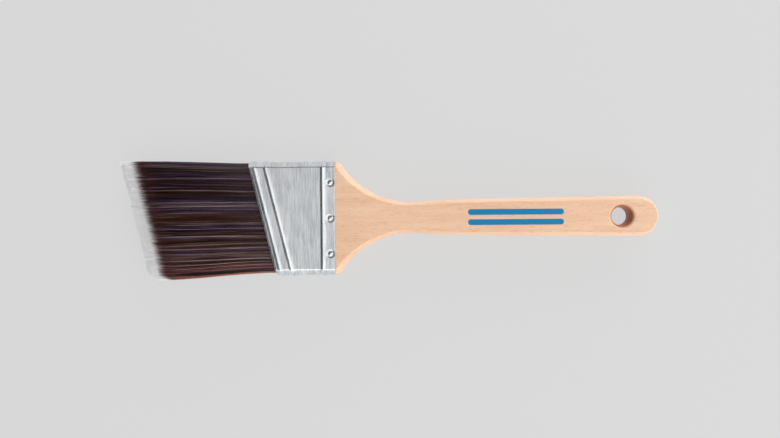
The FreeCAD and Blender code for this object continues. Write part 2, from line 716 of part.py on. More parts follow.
def edge_band(name, side):
    """A block over the filaments beyond the ends of the plugs, on one narrow side."""
    band = document.addObject("Part::Box", f"{name}_band")
    band.setExpression("Length", "sizes.seated_length + sizes.free_length + sizes.ferrule_width")
    band.setExpression("Width", "sizes.ferrule_width / 2")
    band.setExpression("Height", "2 * sizes.ferrule_depth")
    band.setExpression("Placement.Base.x", "sizes.mouth_x - sizes.free_length - sizes.ferrule_width / 2")
    start = "sizes.bank_half_width" if side > 0 else "-1 * sizes.bank_half_width - sizes.ferrule_width / 2"
    band.setExpression("Placement.Base.y", start)
    band.setExpression("Placement.Base.z", "sizes.bead_height - sizes.ferrule_depth / 2")
    return band


def make_plug(name, side):
    """A wooden strip between two banks, parallel to the mouth and hidden just inside it."""
    body = new_body(name)
    sketch = new_sketch(body, f"{name}_plan", "XY_Plane")
    half = cell("bank_half_width") - cell("bank_gap")
    lean = math.tan(math.radians(cell("mouth_angle")))
    half_expression = "(sizes.bank_half_width - sizes.bank_gap)"
    corners = []
    for setback, end in (("front", -1), ("front", 1), ("rear", 1), ("rear", -1)):
        alias = f"plug_{setback}_setback"
        x = cell("mouth_x") + cell(alias) - end * half * lean
        x_expression = f"sizes.mouth_x + sizes.{alias} - {end} * {half_expression} * tan(sizes.mouth_angle * 1 deg)"
        corners.append((x, end * half, x_expression, f"{end} * {half_expression}"))
    edges = closed_loop(sketch, [corner[:2] for corner in corners], {})
    for edge, corner in zip(edges, corners):
        pin(sketch, edge, START, *corner)
    sketch.setExpression("AttachmentOffset.Base.z", f"{side} * sizes.bank_depth / 2")
    strip = body.newObject("PartDesign::Pad", f"{name}_pad")
    strip.Profile = sketch
    strip.setExpression("Length", "sizes.plug_depth")
    strip.Midplane = True
    return body


def make_glue(head):
    """The set glue that fills the sleeve behind the filaments and holds their butts."""
    body = sleeve_blank(
        "glue_block", -cell("gauge"), "-1 * sizes.gauge", "sizes.rear_edge_x - sizes.toe_reach", "sizes.glue_rear_x"
    )
    far = "sizes.mouth_x - 3 * sizes.ferrule_width"
    front = "sizes.mouth_x + sizes.glue_front_setback"
    front_x = cell("mouth_x") + cell("glue_front_setback")
    strip_pocket(body, "glue_front", [(far, -260.0, front, front_x, True, True)])
    return difference("epoxy_set", body, head)


def check(features):
    """Stops the script if any feature failed or any piece is not a valid shape."""
    for feature in document.Objects:
        if "Invalid" in feature.State or "Error" in feature.State:
            raise RuntimeError(f"{feature.Name} failed: {feature.State}")
    for node, feature in features.items():
        shape = feature.Shape
        if shape.isNull() or not shape.isValid() or not shape.Solids:
            raise RuntimeError(f"{node} has no valid solid")
        print(node, len(shape.Solids), "solids", round(shape.Volume / 1000, 3), "cm3", shape.BoundBox)


def main():
    head = make_head()
    layers = bank_layers()
    plugs = {
        "spacer_plug_front": make_plug("spacer_plug_front", 1),
        "spacer_plug_back": make_plug("spacer_plug_back", -1),
    }
    both_plugs = joined("Part::MultiFuse", "both_plugs", list(plugs.values()))
    nodes = {
        "handle": make_handle(),
        "ferrule": make_ferrule(),
        "nails_front": make_nails("nails_front", 1),
        "nails_back": make_nails("nails_back", -1),
        "epoxy_set": make_glue(head),
    }
    nodes.update(plugs)
    for name, slab in layers.items():
        filled = joined("Part::MultiCommon", f"{name}_filled", [head, slab])
        nodes[f"bristles_{name}"] = difference(f"bristles_{name}", filled, both_plugs)
    for name, side in (("toe", 1), ("heel", -1)):
        nodes[f"bristles_{name}"] = joined("Part::MultiCommon", f"bristles_{name}", [head, edge_band(name, side)])
    document.recompute()
    check(nodes)
    os.makedirs("parts", exist_ok=True)
    for node, feature in nodes.items():
        feature.Label = node
        feature.Shape.exportStep(f"parts/{node}.step")


main()
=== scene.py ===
"""Angled trim paint brush: the finished surfaces of its ferrule, handle, nails, core and filament head.

Everything is in metres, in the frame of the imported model: +X towards the hanging end, +Y towards the
toe, +Z up.
"""

import math

import bmesh
import bpy
import numpy as np
from bpy.props import FloatProperty, FloatVectorProperty, IntProperty, PointerProperty
from mathutils import Matrix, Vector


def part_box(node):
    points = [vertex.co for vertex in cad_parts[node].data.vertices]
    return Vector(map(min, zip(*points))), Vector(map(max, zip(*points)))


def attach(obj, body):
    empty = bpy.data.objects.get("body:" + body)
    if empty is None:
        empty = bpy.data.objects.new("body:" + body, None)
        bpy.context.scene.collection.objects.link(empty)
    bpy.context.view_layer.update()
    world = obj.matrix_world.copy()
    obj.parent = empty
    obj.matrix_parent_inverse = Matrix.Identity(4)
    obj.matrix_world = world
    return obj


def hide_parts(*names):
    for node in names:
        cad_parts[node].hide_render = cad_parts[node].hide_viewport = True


bl_info = {
    "name": "Trim Brush",
    "version": (1, 0, 0),
    "blender": (4, 5, 0),
    "location": "View3D > Sidebar > Trim Brush",
    "description": "Builds an angled trim brush around its packed frame",
    "category": "Object",
}

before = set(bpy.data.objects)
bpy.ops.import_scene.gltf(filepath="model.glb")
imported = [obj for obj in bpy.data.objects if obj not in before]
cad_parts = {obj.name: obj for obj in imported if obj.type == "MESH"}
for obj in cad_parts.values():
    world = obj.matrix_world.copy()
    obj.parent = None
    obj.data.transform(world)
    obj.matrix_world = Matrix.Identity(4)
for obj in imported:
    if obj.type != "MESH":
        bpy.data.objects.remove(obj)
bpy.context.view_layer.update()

MM = 0.001
BAKE_MAP = "OFBake"

FERRULE_LOW, FERRULE_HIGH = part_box("ferrule")
BEAD_HEIGHT = 0.6 * MM
HALF_WIDTH = (FERRULE_HIGH.y - FERRULE_LOW.y) / 2 - BEAD_HEIGHT
HALF_DEPTH = (FERRULE_HIGH.z - FERRULE_LOW.z) / 2 - BEAD_HEIGHT
MIDDLE_Z = (FERRULE_HIGH.z + FERRULE_LOW.z) / 2
REAR_X = FERRULE_HIGH.x
END_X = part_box("handle")[1].x
MOUTH_ANGLE = math.radians(14.0)
LEAN = math.tan(MOUTH_ANGLE)
MOUTH_X = FERRULE_LOW.x + LEAN * HALF_WIDTH
HANG_X = 128.85 * MM
NAIL_X = -32.5 * MM
NAIL_PITCH = 19.65 * MM
CREASE = 0.8 * MM
# A filament's tone is a place on its ramp: browns fill this span from 0, and violets from their start.
SHADES_SPAN = 0.47
VIOLET_START = 0.5


# Settings


def length(name, description, default):
    """A distance in metres, given in millimetres."""
    return FloatProperty(name=name, description=description, default=default * MM, unit="LENGTH")


def share(name, description, default):
    """A factor from 0 to 1."""
    return FloatProperty(
        name=name, description=description, default=default, min=0, max=1, subtype="FACTOR"
    )


def radiance(name, description, default):
    """The brightness of a panel of light."""
    return FloatProperty(name=name, description=description, default=default, min=0)


def amount(name, description, default):
    """A number of like things."""
    return IntProperty(name=name, description=description, default=default, min=1)


def colour(name, description, red, green, blue):
    """A linear colour."""
    value = (red, green, blue, 1)
    return FloatVectorProperty(
        name=name, description=description, default=value, size=4, min=0, max=1, subtype="COLOR"
    )


class FerruleSettings(bpy.types.PropertyGroup):
    gauge: length("Gauge", "Thickness of the sheet", 0.5)
    bead_height: length("Bead Height", "Height of a pressed bead over the face", BEAD_HEIGHT / MM)
    steep_flank: length("Steep Flank", "Width of a bead's flank on the mouth side", 1.5)
    easy_flank: length("Easy Flank", "Width of a bead's flank on the handle side", 3.4)
    first_bead: length("First Bead", "Distance of the first crest behind the mouth", 3.0)
    second_bead: length("Second Bead", "Distance of the second crest behind the mouth", 9.17)
    rear_bead: length("Rear Bead", "Distance of the rear crest ahead of the rear edge", 6.75)
    lip_drop: length("Lip Drop", "How far the mouth's edge is turned in", 0.32)
    nail_dish: length("Nail Dish", "How deep the sheet is pressed in under a nail's head", 0.30)
    steel_light: colour("Steel Light", "Colour of the brighter brush marks", 0.97, 0.985, 1.0)
    steel_dark: colour("Steel Dark", "Colour of the duller brush marks", 0.565, 0.595, 0.63)


class HandleSettings(bpy.types.PropertyGroup):
    crease: length("Crease", "Radius of the edge between a face and the rounded side", 0.5)
    wood_light: colour("Wood Light", "Colour of the pale wood between the pores", 0.85, 0.575, 0.40)
    wood_dark: colour("Wood Dark", "Colour of the redder bands", 0.775, 0.475, 0.305)
    ray_fleck: colour("Ray Fleck", "Colour of the short flecks of the grain", 0.52, 0.255, 0.14)
    # The hole wall colour is end grain and painted shade together.
    wall_grain_and_shade_colour: colour("Hole Wall", "Colour of the end grain in the hanging hole", 0.44, 0.15, 0.07)
    print_blue: colour("Print", "Colour of the two printed stripes", 0.0, 0.195, 0.40)
    stripe_middle: length("Stripe Middle", "Place of the stripes along the handle", 70.0)
    stripe_length: length("Stripe Length", "Length of each stripe", 53.0)
    stripe_width: length("Stripe Width", "Width of each stripe", 3.2)
    stripe_pitch: length("Stripe Pitch", "Distance between the stripes' middles", 5.6)


class NailSettings(bpy.types.PropertyGroup):
    head_radius: length("Head Radius", "Radius of a nail's head", 1.4)
    head_rise: length("Head Rise", "Height of a nail's domed head", 0.85)
    shank_radius: length("Shank Radius", "Radius of a nail's shank", 0.6)
    shank_length: length("Shank Length", "Length of a nail's shank without its point", 4.6)


class FilamentSettings(bpy.types.PropertyGroup):
    free_length: length("Free Length", "Length outside the mouth", 71.4)
    seated: length("Seated Length", "Length that is modelled inside the ferrule", 6.0)
    root_radius: length("Root Radius", "Radius of a filament at the mouth", 0.14)
    tip_radius: length("Tip Radius", "Radius of a filament at its tip", 0.05)
    face_count: amount("Face Count", "Filaments in each face bank", 4600)
    core_count: amount("Core Count", "Filaments in the middle bank", 3000)
    edge_count: amount("Edge Count", "Filaments in each edge bank", 2300)
    # The tip colour also feeds the tips' painted glow.
    tip_colour: colour("Tip Colour", "Colour of the flagged tips", 0.955, 0.96, 0.965)
    rust: colour("Rust", "Reddish brown filaments of the heel", 0.60, 0.25, 0.17)


class StageSettings(bpy.types.PropertyGroup):
    height: length("Camera Height", "Camera height over the brush's middle plane", 430.0)
    view_width: FloatProperty(
        name="View Width",
        description="Camera's angle across the picture",
        default=math.radians(54.0),
        subtype="ANGLE",
    )
    floor: colour("Floor", "Colour of the floor", 0.10, 0.10, 0.10)
    floor_glow: share("Floor Glow", "Light that the floor gives itself", 0.60)
    world: share("World", "Brightness of the room around", 0.08)
    overhead: radiance("Overhead", "Radiance of the overhead panel", 0.62)
    key: radiance("Key", "Radiance of the panel over the handle", 1.12)
    toe_fill: radiance("Toe Fill", "Radiance of the low toe panel", 5.3)
    corner_fill: radiance("Corner Fill", "Radiance of the heel corner panel", 2.0)
    heel_fill: radiance("Heel Fill", "Radiance of the heel panel", 1.28)


class BrushSettings(bpy.types.PropertyGroup):
    ferrule: PointerProperty(type=FerruleSettings, name="Ferrule", description="The pressed steel sleeve")
    handle: PointerProperty(type=HandleSettings, name="Handle", description="The beech handle")
    nails: PointerProperty(type=NailSettings, name="Nails", description="The nails through the ferrule")
    filaments: PointerProperty(type=FilamentSettings, name="Filaments", description="The filament head")
    stage: PointerProperty(type=StageSettings, name="Stage", description="Floor, lights and camera")


# Node trees


def binary(operation, swapped=False):
    """A method that adds a Math node on a wire and another value."""

    def method(self, other):
        return self.graph.math(operation, *((other, self) if swapped else (self, other)))

    return method


class Wire:
    """An output socket. Arithmetic on it adds Math nodes to its tree."""

    __add__, __radd__ = binary("ADD"), binary("ADD", True)
    __sub__, __rsub__ = binary("SUBTRACT"), binary("SUBTRACT", True)
    __mul__, __rmul__ = binary("MULTIPLY"), binary("MULTIPLY", True)
    __truediv__, __pow__ = binary("DIVIDE"), binary("POWER")
    at_least, at_most = binary("MAXIMUM"), binary("MINIMUM")

    def __init__(self, graph, socket):
        self.graph = graph
        self.socket = socket

    def __abs__(self):
        return self.graph.math("ABSOLUTE", self)

    def out(self, name):
        """Another output of the same node."""
        return Wire(self.graph, find_socket(self.socket.node.outputs, name))


def find_socket(sockets, key):
    """A socket by its position, its identifier or its name."""
    if isinstance(key, int):
        return sockets[key]
    for socket in sockets:
        if socket.identifier == key:
            return socket
    return sockets[key]


class Graph:
    """Adds nodes to a shader or geometry node tree."""

    def __init__(self, tree):
        self.tree = tree

    def node(self, kind, settings=None, inputs=None, output=0):
        """Adds a node: first its settings, then the values or links of its sockets. Returns one output."""
        made = self.tree.nodes.new(kind)
        for name, value in (settings or {}).items():
            if name == "stops":
                set_stops(made.color_ramp, value)
            else:
                setattr(made, name, value)
        for name, value in (inputs or {}).items():
            socket = find_socket(made.inputs, name)
            if isinstance(value, Wire):
                self.tree.links.new(value.socket, socket)
            else:
                socket.default_value = value
        if not made.outputs:
            return None
        return Wire(self, find_socket(made.outputs, output))

    def math(self, operation, *operands):
        return self.node("ShaderNodeMath", {"operation": operation}, dict(enumerate(operands)))

    def vector(self, x=0.0, y=0.0, z=0.0):
        return self.node("ShaderNodeCombineXYZ", {}, {"X": x, "Y": y, "Z": z})

    def split(self, vector):
        """The three numbers of a vector."""
        axes = self.node("ShaderNodeSeparateXYZ", {}, {"Vector": vector})
        return axes.out("X"), axes.out("Y"), axes.out("Z")

    def mix(self, factor, first, second):
        """A colour between two colours."""
        inputs = {"Factor_Float": factor, "A_Color": first, "B_Color": second}
        return self.node("ShaderNodeMix", {"data_type": "RGBA"}, inputs, "Result_Color")

    def ramp(self, factor, stops):
        """The colour at a place between stops of (place, colour)."""
        return self.node("ShaderNodeValToRGB", {"stops": stops}, {"Fac": factor}, "Color")

    def step(self, value, low, high, to_low=0.0, to_high=1.0):
        """A smooth change from to_low to to_high while the value goes from low to high."""
        inputs = {"Value": value, "From Min": low, "From Max": high, "To Min": to_low, "To Max": to_high}
        return self.node("ShaderNodeMapRange", {"interpolation_type": "SMOOTHSTEP"}, inputs)

    def noise(self, place, cell, detail=2.0, roughness=0.5, unit=1.0):
        """Noise whose cells measure so many units along each axis."""
        scale = tuple(1 / (side * unit) for side in cell)
        scaled = self.node("ShaderNodeVectorMath", {"operation": "MULTIPLY"}, {0: place, 1: scale})
        inputs = {"Vector": scaled, "Scale": 1.0, "Detail": detail, "Roughness": roughness}
        return self.node("ShaderNodeTexNoise", {}, inputs, "Fac")


def surface_noise(graph, place, cell, *texture):
    """Noise on a piece, whose cells are given in millimetres."""
    return graph.noise(place, cell, *texture, unit=MM)


def set_stops(ramp, stops):
    """Gives a colour ramp its stops."""
    while len(ramp.elements) < len(stops):
        ramp.elements.new(1.0)
    for element, (place, value) in zip(ramp.elements, stops):
        element.position = place
        element.color = value


def new_material(name):
    """A material with an empty tree, and the helper that fills it."""
    material = bpy.data.materials.new(name)
    material.use_nodes = True
    material.node_tree.nodes.clear()
    return material, Graph(material.node_tree)


def shade(graph, bump=None, **inputs):
    """Ends a material in a Principled surface. Bump is (height, distance, strength)."""
    sockets = {name.replace("_", " "): value for name, value in inputs.items()}
    if bump:
        height, distance, strength = bump
        values = {"Height": height, "Distance": distance, "Strength": strength}
        sockets["Normal"] = graph.node("ShaderNodeBump", {}, values)
    surface = graph.node("ShaderNodeBsdfPrincipled", {}, sockets)
    graph.node("ShaderNodeOutputMaterial", {}, {"Surface": surface})


def own_place(graph):
    """The surface point in the piece's own coordinates, which are the brush's."""
    return graph.node("ShaderNodeTexCoord", {}, {}, "Object")


# Materials


def brushed_steel(name, light, dark, base_roughness=0.24):
    """Cold-rolled stainless sheet, brushed across the ferrule before it was pressed."""
    material, graph = new_material(name)
    place = own_place(graph)
    marks = surface_noise(graph, place, (0.75, 10, 10), 2.0, 0.6)
    broad = surface_noise(graph, place, (3.5, 16, 12), 2.0)
    cloud = surface_noise(graph, place, (11, 14, 14), 2.0)
    tone = graph.step(marks * 0.6 + broad * 0.2 + cloud * 0.2, 0.28, 0.68)
    scratch = surface_noise(graph, place, (0.18, 14, 14), 2.0, 0.7)
    shade(
        graph,
        bump=(scratch + marks * 0.7, 0.015 * MM, 0.22),
        Base_Color=graph.mix(tone, dark, light),
        Metallic=1.0,
        Roughness=graph.step(marks * 0.6 + cloud * 0.4, 0.3, 0.7, base_roughness, base_roughness + 0.14),
    )
    return material


def beech(settings):
    """Lacquered beech: straight grain with short ray flecks, a darker hole wall and two printed stripes."""
    material, graph = new_material("beech")
    place = own_place(graph)
    x, y, z = graph.split(place)
    bands = surface_noise(graph, place, (42, 4.2, 5), 3.0, 0.55)
    fine = surface_noise(graph, place, (11, 0.55, 0.8), 3.0, 0.6)
    pores = surface_noise(graph, place, (3.4, 0.42, 0.5), 1.0)
    flecks = graph.step(pores, 0.60, 0.72)
    tone = graph.step(bands * 0.62 + fine * 0.38, 0.34, 0.66)
    wood = graph.mix(tone, settings.wood_dark, settings.wood_light)
    wood = graph.mix(flecks * 0.44, wood, settings.ray_fleck)
    # The hole's wall is mixed towards a brown: end grain colour and painted shade inside the hole.
    from_hole = ((x - HANG_X) ** 2.0 + y**2.0) ** 0.5
    depth = graph.step(abs(z - MIDDLE_Z), 5.6 * MM, 7.1 * MM, 1.0, 0.0)
    hole_shade_and_grain = graph.step(from_hole, 7.05 * MM, 7.5 * MM, 1.0, 0.0) * depth
    wood = graph.mix(hole_shade_and_grain * 0.9, wood, settings.wall_grain_and_shade_colour)
    end_radius = settings.stripe_width / 2
    straight = settings.stripe_length / 2 - end_radius
    along = (abs(x - settings.stripe_middle) - straight).at_least(0.0)
    across = abs(abs(y) - settings.stripe_pitch / 2)
    outside = (along**2.0 + across**2.0) ** 0.5 - end_radius
    on_front = graph.step(z, MIDDLE_Z, MIDDLE_Z + MM)
    printed = graph.step(outside, -0.04 * MM, 0.04 * MM, 1.0, 0.0) * on_front
    wear = graph.step(fine * 0.5 + pores * 0.5, 0.60, 0.80, 1.0, 0.75)
    shade(
        graph,
        bump=(fine * 0.5 - flecks * 0.5 + printed * 0.6, 0.03 * MM, 0.30),
        Base_Color=graph.mix(printed * wear, wood, settings.print_blue),
        Roughness=graph.step(fine, 0.3, 0.7, 0.40, 0.52) - printed * 0.08,
        Coat_Weight=0.15,
        Coat_Roughness=0.22,
        Specular_IOR_Level=0.3,
    )
    return material


def head_material(name, dark, tip_colour):
    """Tapered filaments: mixed dark colours by filament, a painted sheen at the root, pale flagged tips.

    The first number of the bake map is the filament's tone and the second its place from root to tip.
    """
    material, graph = new_material(name)
    lookup = graph.node("ShaderNodeUVMap", {"uv_map": BAKE_MAP})
    tone, along, _ = graph.split(lookup)
    # Painted sheen: near the mouth the filaments are mixed towards a lighter grey.
    root_sheen = graph.step(along, 0.03, 0.38, 0.22, 0.0)
    body = graph.mix(root_sheen, graph.ramp(tone, dark), (0.085, 0.068, 0.078, 1))
    warmer = graph.mix(graph.step(along, 0.74, 0.90, 0.0, 0.55), body, (0.15, 0.042, 0.045, 1))
    tipped = graph.step(along, 0.872, 0.934)
    pale = graph.mix(graph.step(tone, 0.1, 0.9), tip_colour, (0.99, 0.99, 0.99, 1))
    shade(
        graph,
        Base_Color=graph.mix(tipped, warmer, pale),
        Roughness=graph.step(along, 0.86, 0.93, 0.42, 0.6),
        Specular_IOR_Level=0.32,
        # Painted light: the pale tips glow a little, standing in for light passing through the fine ends.
        Emission_Color=graph.mix(tipped, (0, 0, 0, 1), pale),
        Emission_Strength=0.08,
    )
    return material


def cast_resin():
    """Amber setting resin that holds the filaments in the ferrule."""
    material, graph = new_material("epoxy")
    place = own_place(graph)
    cloud = surface_noise(graph, place, (6, 6, 4), 3.0)
    bubbles = surface_noise(graph, place, (0.7, 0.7, 0.7), 1.0)
    thick, thin = (0.30, 0.15, 0.04, 1), (0.52, 0.33, 0.12, 1)
    shade(
        graph,
        bump=(graph.step(bubbles, 0.55, 0.75), 0.1 * MM, 0.5),
        Base_Color=graph.mix(graph.step(cloud, 0.3, 0.7), thick, thin),
        Roughness=graph.step(cloud, 0.3, 0.7, 0.18, 0.34),
    )
    return material


def sawn_softwood():
    """The rough spacer plugs between the filament banks."""
    material, graph = new_material("plug_wood")
    place = own_place(graph)
    rings = surface_noise(graph, place, (3, 25, 2), 3.0)
    fibres = surface_noise(graph, place, (0.4, 9, 0.4), 3.0, 0.7)
    tone = graph.step(rings * 0.6 + fibres * 0.4, 0.35, 0.65)
    shade(
        graph,
        bump=(fibres, 0.12 * MM, 0.6),
        Base_Color=graph.mix(tone, (0.38, 0.24, 0.12, 1), (0.62, 0.45, 0.26, 1)),
        Roughness=graph.step(fibres, 0.3, 0.7, 0.62, 0.82),
    )
    return material


# Meshes


def put(name, data):
    """A new object in the scene."""
    made = bpy.data.objects.new(name, data)
    bpy.context.scene.collection.objects.link(made)
    return made


def new_piece(name, mesh, material, stands_for, body="root"):
    """Puts a finished mesh in the scene as a named piece that rides on a body of the frame."""
    mesh.name = name
    mesh.materials.clear()
    mesh.materials.append(material)
    piece = put(name, mesh)
    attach(piece, body)
    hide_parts(*stands_for)
    return piece


def turned(profile, segments):
    """Points and faces of a sheet turned round the Z axis from a profile of (radius, height)."""
    turns = [2 * math.pi * i / segments for i in range(segments)]
    points = [(r * math.cos(turn), r * math.sin(turn), z) for r, z in profile for turn in turns]
    faces = []
    for i in range(len(profile) - 1):
        faces += ring_faces(i * segments, (i + 1) * segments, segments)
    return points, faces


def volume(points, faces):
    """Signed volume of a closed mesh: above zero where the faces point outwards."""
    total = 0.0
    for face in faces:
        first = points[face[0]]
        for second, third in zip(face[1:-1], face[2:]):
            total += float(np.dot(first, np.cross(points[second], points[third])))
    return total / 6


def closed_mesh(name, points, faces, corners=None):
    """A smooth closed mesh with outward faces. Corners holds a map place for every corner of every face."""
    if volume(points, faces) < 0:
        faces = [face[::-1] for face in faces]
        corners = [face[::-1] for face in corners] if corners else None
    mesh = bpy.data.meshes.new(name)
    mesh.from_pydata(points.tolist(), [], faces)
    if corners:
        places = mesh.uv_layers.new(name=BAKE_MAP)
        flat = np.array([place for face in corners for place in face], np.float32)
        places.data.foreach_set("uv", flat.ravel())
    mesh.shade_smooth()
    mesh.validate()
    mesh.update()
    return mesh


def ring_faces(first, second, size):
    """Quads between two closed rows of points, given the number of each row's first point."""
    return [
        (first + i, first + (i + 1) % size, second + (i + 1) % size, second + i) for i in range(size)
    ]


def smooth(part):
    """A smooth rise from 0 to 1, with level ends."""
    return part**2 * (3 - 2 * part)


def edge_profile(half_depth, side_radius, crease, grown=0.0, turns=None, crease_steps=6):
    """The rounded side, from the upper face's edge to the lower one's: insets, heights and normals.

    A small crease radius joins each flat face to the bulged side.
    """
    in_depth = half_depth - crease
    reach = math.sqrt((side_radius - crease) ** 2 - in_depth**2)
    turn = math.atan2(in_depth, reach)
    if turns is None:
        turns = np.linspace(1, -1, 17)[1:-1]
    rows = []
    for angle in np.linspace(math.pi / 2, turn, crease_steps):
        rows.append((reach, in_depth, crease + grown, angle))
    for part in turns:
        rows.append((0.0, 0.0, side_radius + grown, part * turn))
    for angle in np.linspace(-turn, -math.pi / 2, crease_steps):
        rows.append((reach, -in_depth, crease + grown, angle))
    rows = np.array(rows)
    out = rows[:, 0] + rows[:, 2] * np.cos(rows[:, 3])
    heights = rows[:, 1] + rows[:, 2] * np.sin(rows[:, 3])
    return side_radius - out, heights, np.cos(rows[:, 3]), np.sin(rows[:, 3])


def row_of_values(*runs):
    """Joins runs of (start, finish, spacing) into one rising row of numbers."""
    values = []
    for start, finish, spacing in runs:
        parts = max(1, round((finish - start) / spacing))
        values += [start + (finish - start) * i / parts for i in range(parts)]
    values.append(runs[-1][1])
    return np.array(values)


# The ferrule


def ferrule_section():
    """The ferrule's section, once round from the toe's upper crease: points and normals."""
    side_radius, seam = 10.9 * MM, 0.045
    toe_turns = np.linspace(1, -1, 19)[1:-1]
    heel_turns = np.array([-0.86, -0.7, -0.52, -0.34, -0.17, -seam, -seam / 3, 0, seam / 3, seam])
    heel_turns = np.concatenate((heel_turns, -heel_turns[:5][::-1]))
    heel = edge_profile(HALF_DEPTH, side_radius, CREASE, turns=-heel_turns)
    toe = edge_profile(HALF_DEPTH, side_radius, CREASE, turns=toe_turns)
    flat = HALF_WIDTH - toe[0][0]
    # The points are closer together across each nail's dish.
    seat, near, far = 2.8 * MM, 0.24 * MM, 0.9 * MM
    runs, start = [], -flat
    for place in (-NAIL_PITCH, 0.0, NAIL_PITCH):
        runs += [(start, place - seat, far), (place - seat, place + seat, near)]
        start = place + seat
    across = row_of_values(*runs, (start, flat, far))[1:-1]
    rows = [(y, HALF_DEPTH, 0.0, 1.0) for y in across[::-1]]
    rows += [(inset - HALF_WIDTH, z, -ny, nz) for inset, z, ny, nz in zip(*heel)]
    rows += [(y, -HALF_DEPTH, 0.0, -1.0) for y in across]
    rows += [(HALF_WIDTH - inset, z, ny, nz) for inset, z, ny, nz in zip(*[part[::-1] for part in toe])]
    return np.array(rows)


def flank(distance, steep, easy):
    """A bead's share of its height: steep before the crest, and dying away behind it."""
    rising = 0.5 + 0.5 * np.cos(np.pi * np.clip(distance / steep, -1, 0))
    falling = np.clip(1 - distance / easy, 0, 1) ** 2.6
    return np.where(distance < 0, rising, falling)


def ferrule_relief(x, y, z, settings):
    """How far the sheet stands out of the plain section at each point."""
    lip_reach, dish_reach, dish_wall = 1.6 * MM, 2.7 * MM, 0.45
    seam_depth, seam_width = 0.18 * MM, 0.12 * MM
    setback = x - (MOUTH_X - LEAN * y)
    relief = np.zeros_like(x)
    for crest in (settings.first_bead, settings.second_bead):
        relief += flank(setback - crest, settings.steep_flank, settings.easy_flank)
    relief += flank(x - (REAR_X - settings.rear_bead), settings.steep_flank, settings.easy_flank)
    relief *= settings.bead_height
    lip = np.clip(1 - setback / lip_reach, 0, 1)
    relief -= settings.lip_drop * lip**2
    on_face = np.abs(z) > HALF_DEPTH * 0.98
    for place in (-1, 0, 1):
        away = np.hypot(x - NAIL_X, y - place * NAIL_PITCH)
        dish = np.clip((1 - away / dish_reach) / dish_wall, 0, 1)
        relief -= settings.nail_dish * np.where(on_face, smooth(dish), 0.0)
    on_heel = y < -HALF_WIDTH * 0.99
    relief -= np.where(on_heel, seam_depth * np.exp(-((z / seam_width) ** 2)), 0.0)
    return relief


def ferrule_rows(settings):
    """Rows of the outer sheet, closer over the beads: (place on the axis, share of the mouth's slant)."""
    near, middling, far = 0.2 * MM, 0.4 * MM, 0.9 * MM
    front = row_of_values(
        (MOUTH_X + 0.1 * MM, MOUTH_X + 6.6 * MM, near),
        (MOUTH_X + 6.6 * MM, MOUTH_X + 7.6 * MM, middling),
        (MOUTH_X + 7.6 * MM, MOUTH_X + 12.8 * MM, near),
    )
    bead_start = REAR_X - settings.rear_bead - 1.6 * MM
    middle = row_of_values((MOUTH_X + 12.8 * MM, bead_start, far))[1:-1]
    rear = row_of_values((bead_start, REAR_X - 0.12 * MM, near))
    rows = [(x, 1.0) for x in front]
    span = rear[0] - front[-1]
    for x in middle:
        rows.append((x, 1 - smooth((x - front[-1]) / span)))
    rows += [(x, 0.0) for x in rear]
    return rows


def ferrule_mesh(settings):
    """The whole sleeve: outer sheet, rolled rims and the wall inside, as one closed skin."""
    section = ferrule_section()
    y, z, normal_y, normal_z = section.T
    count = len(section)
    gauge = settings.gauge
    points = []
    heights = []

    def add_row(x, slant, grown, relief_share):
        places = x - slant * LEAN * y
        relief = relief_share * ferrule_relief(places, y, z, settings) + grown
        points.append(np.column_stack((places, y + normal_y * relief, MIDDLE_Z + z + normal_z * relief)))

    # Heights are the rows' places on the bake map: first the outer sheet, then the rims and the inside.
    outer = ferrule_rows(settings)
    for x, slant in outer:
        add_row(x, slant, 0.0, 1.0)
        heights.append(0.02 + 0.60 * len(heights) / len(outer))
    add_row(REAR_X - 0.02 * MM, 0.0, -0.22 * gauge, 0.0)
    add_row(REAR_X - 0.02 * MM, 0.0, -0.78 * gauge, 0.0)
    inner = [(REAR_X - 0.12 * MM, 0.0), (REAR_X - 12 * MM, 0.0), (MOUTH_X + 11 * MM, 1.0)]
    inner += [(MOUTH_X + setback * MM, 1.0) for setback in (1.8, 1.2, 0.7, 0.3, 0.1)]
    for x, slant in inner:
        near_mouth = 1.0 if slant and x < MOUTH_X + 2 * MM else 0.0
        add_row(x, slant, -gauge, near_mouth)
    add_row(MOUTH_X + 0.01 * MM, 1.0, -0.78 * gauge, 1.0)
    add_row(MOUTH_X + 0.01 * MM, 1.0, -0.22 * gauge, 1.0)
    rest = len(points) - len(heights)
    heights += [0.64 + 0.34 * (i + 1) / rest for i in range(rest)]
    rows = len(points)
    loop = np.vstack((section[:, :2], section[:1, :2]))
    around = np.concatenate(([0.0], np.cumsum(np.hypot(*np.diff(loop, axis=0).T))))
    around = 0.01 + 0.98 * around / around[-1]
    faces, corners = [], []
    for i in range(rows):
        j = (i + 1) % rows
        low, high = heights[i], heights[j] if j else 0.99
        faces += ring_faces(i * count, j * count, count)
        for k in range(count):
            left, right = around[k], around[k + 1]
            corners.append(((left, low), (right, low), (right, high), (left, high)))
    return closed_mesh("ferrule_sheet", np.vstack(points), faces, corners)


# The handle


def arc(centre, radius, start, finish, count, outward=1.0):
    """Points and normals along an arc. Outward is -1 where the wood lies outside the circle."""
    turns = np.linspace(start, finish, count)
    normals = np.column_stack((np.cos(turns), np.sin(turns)))
    return np.hstack((np.array(centre) + radius * normals, outward * normals))


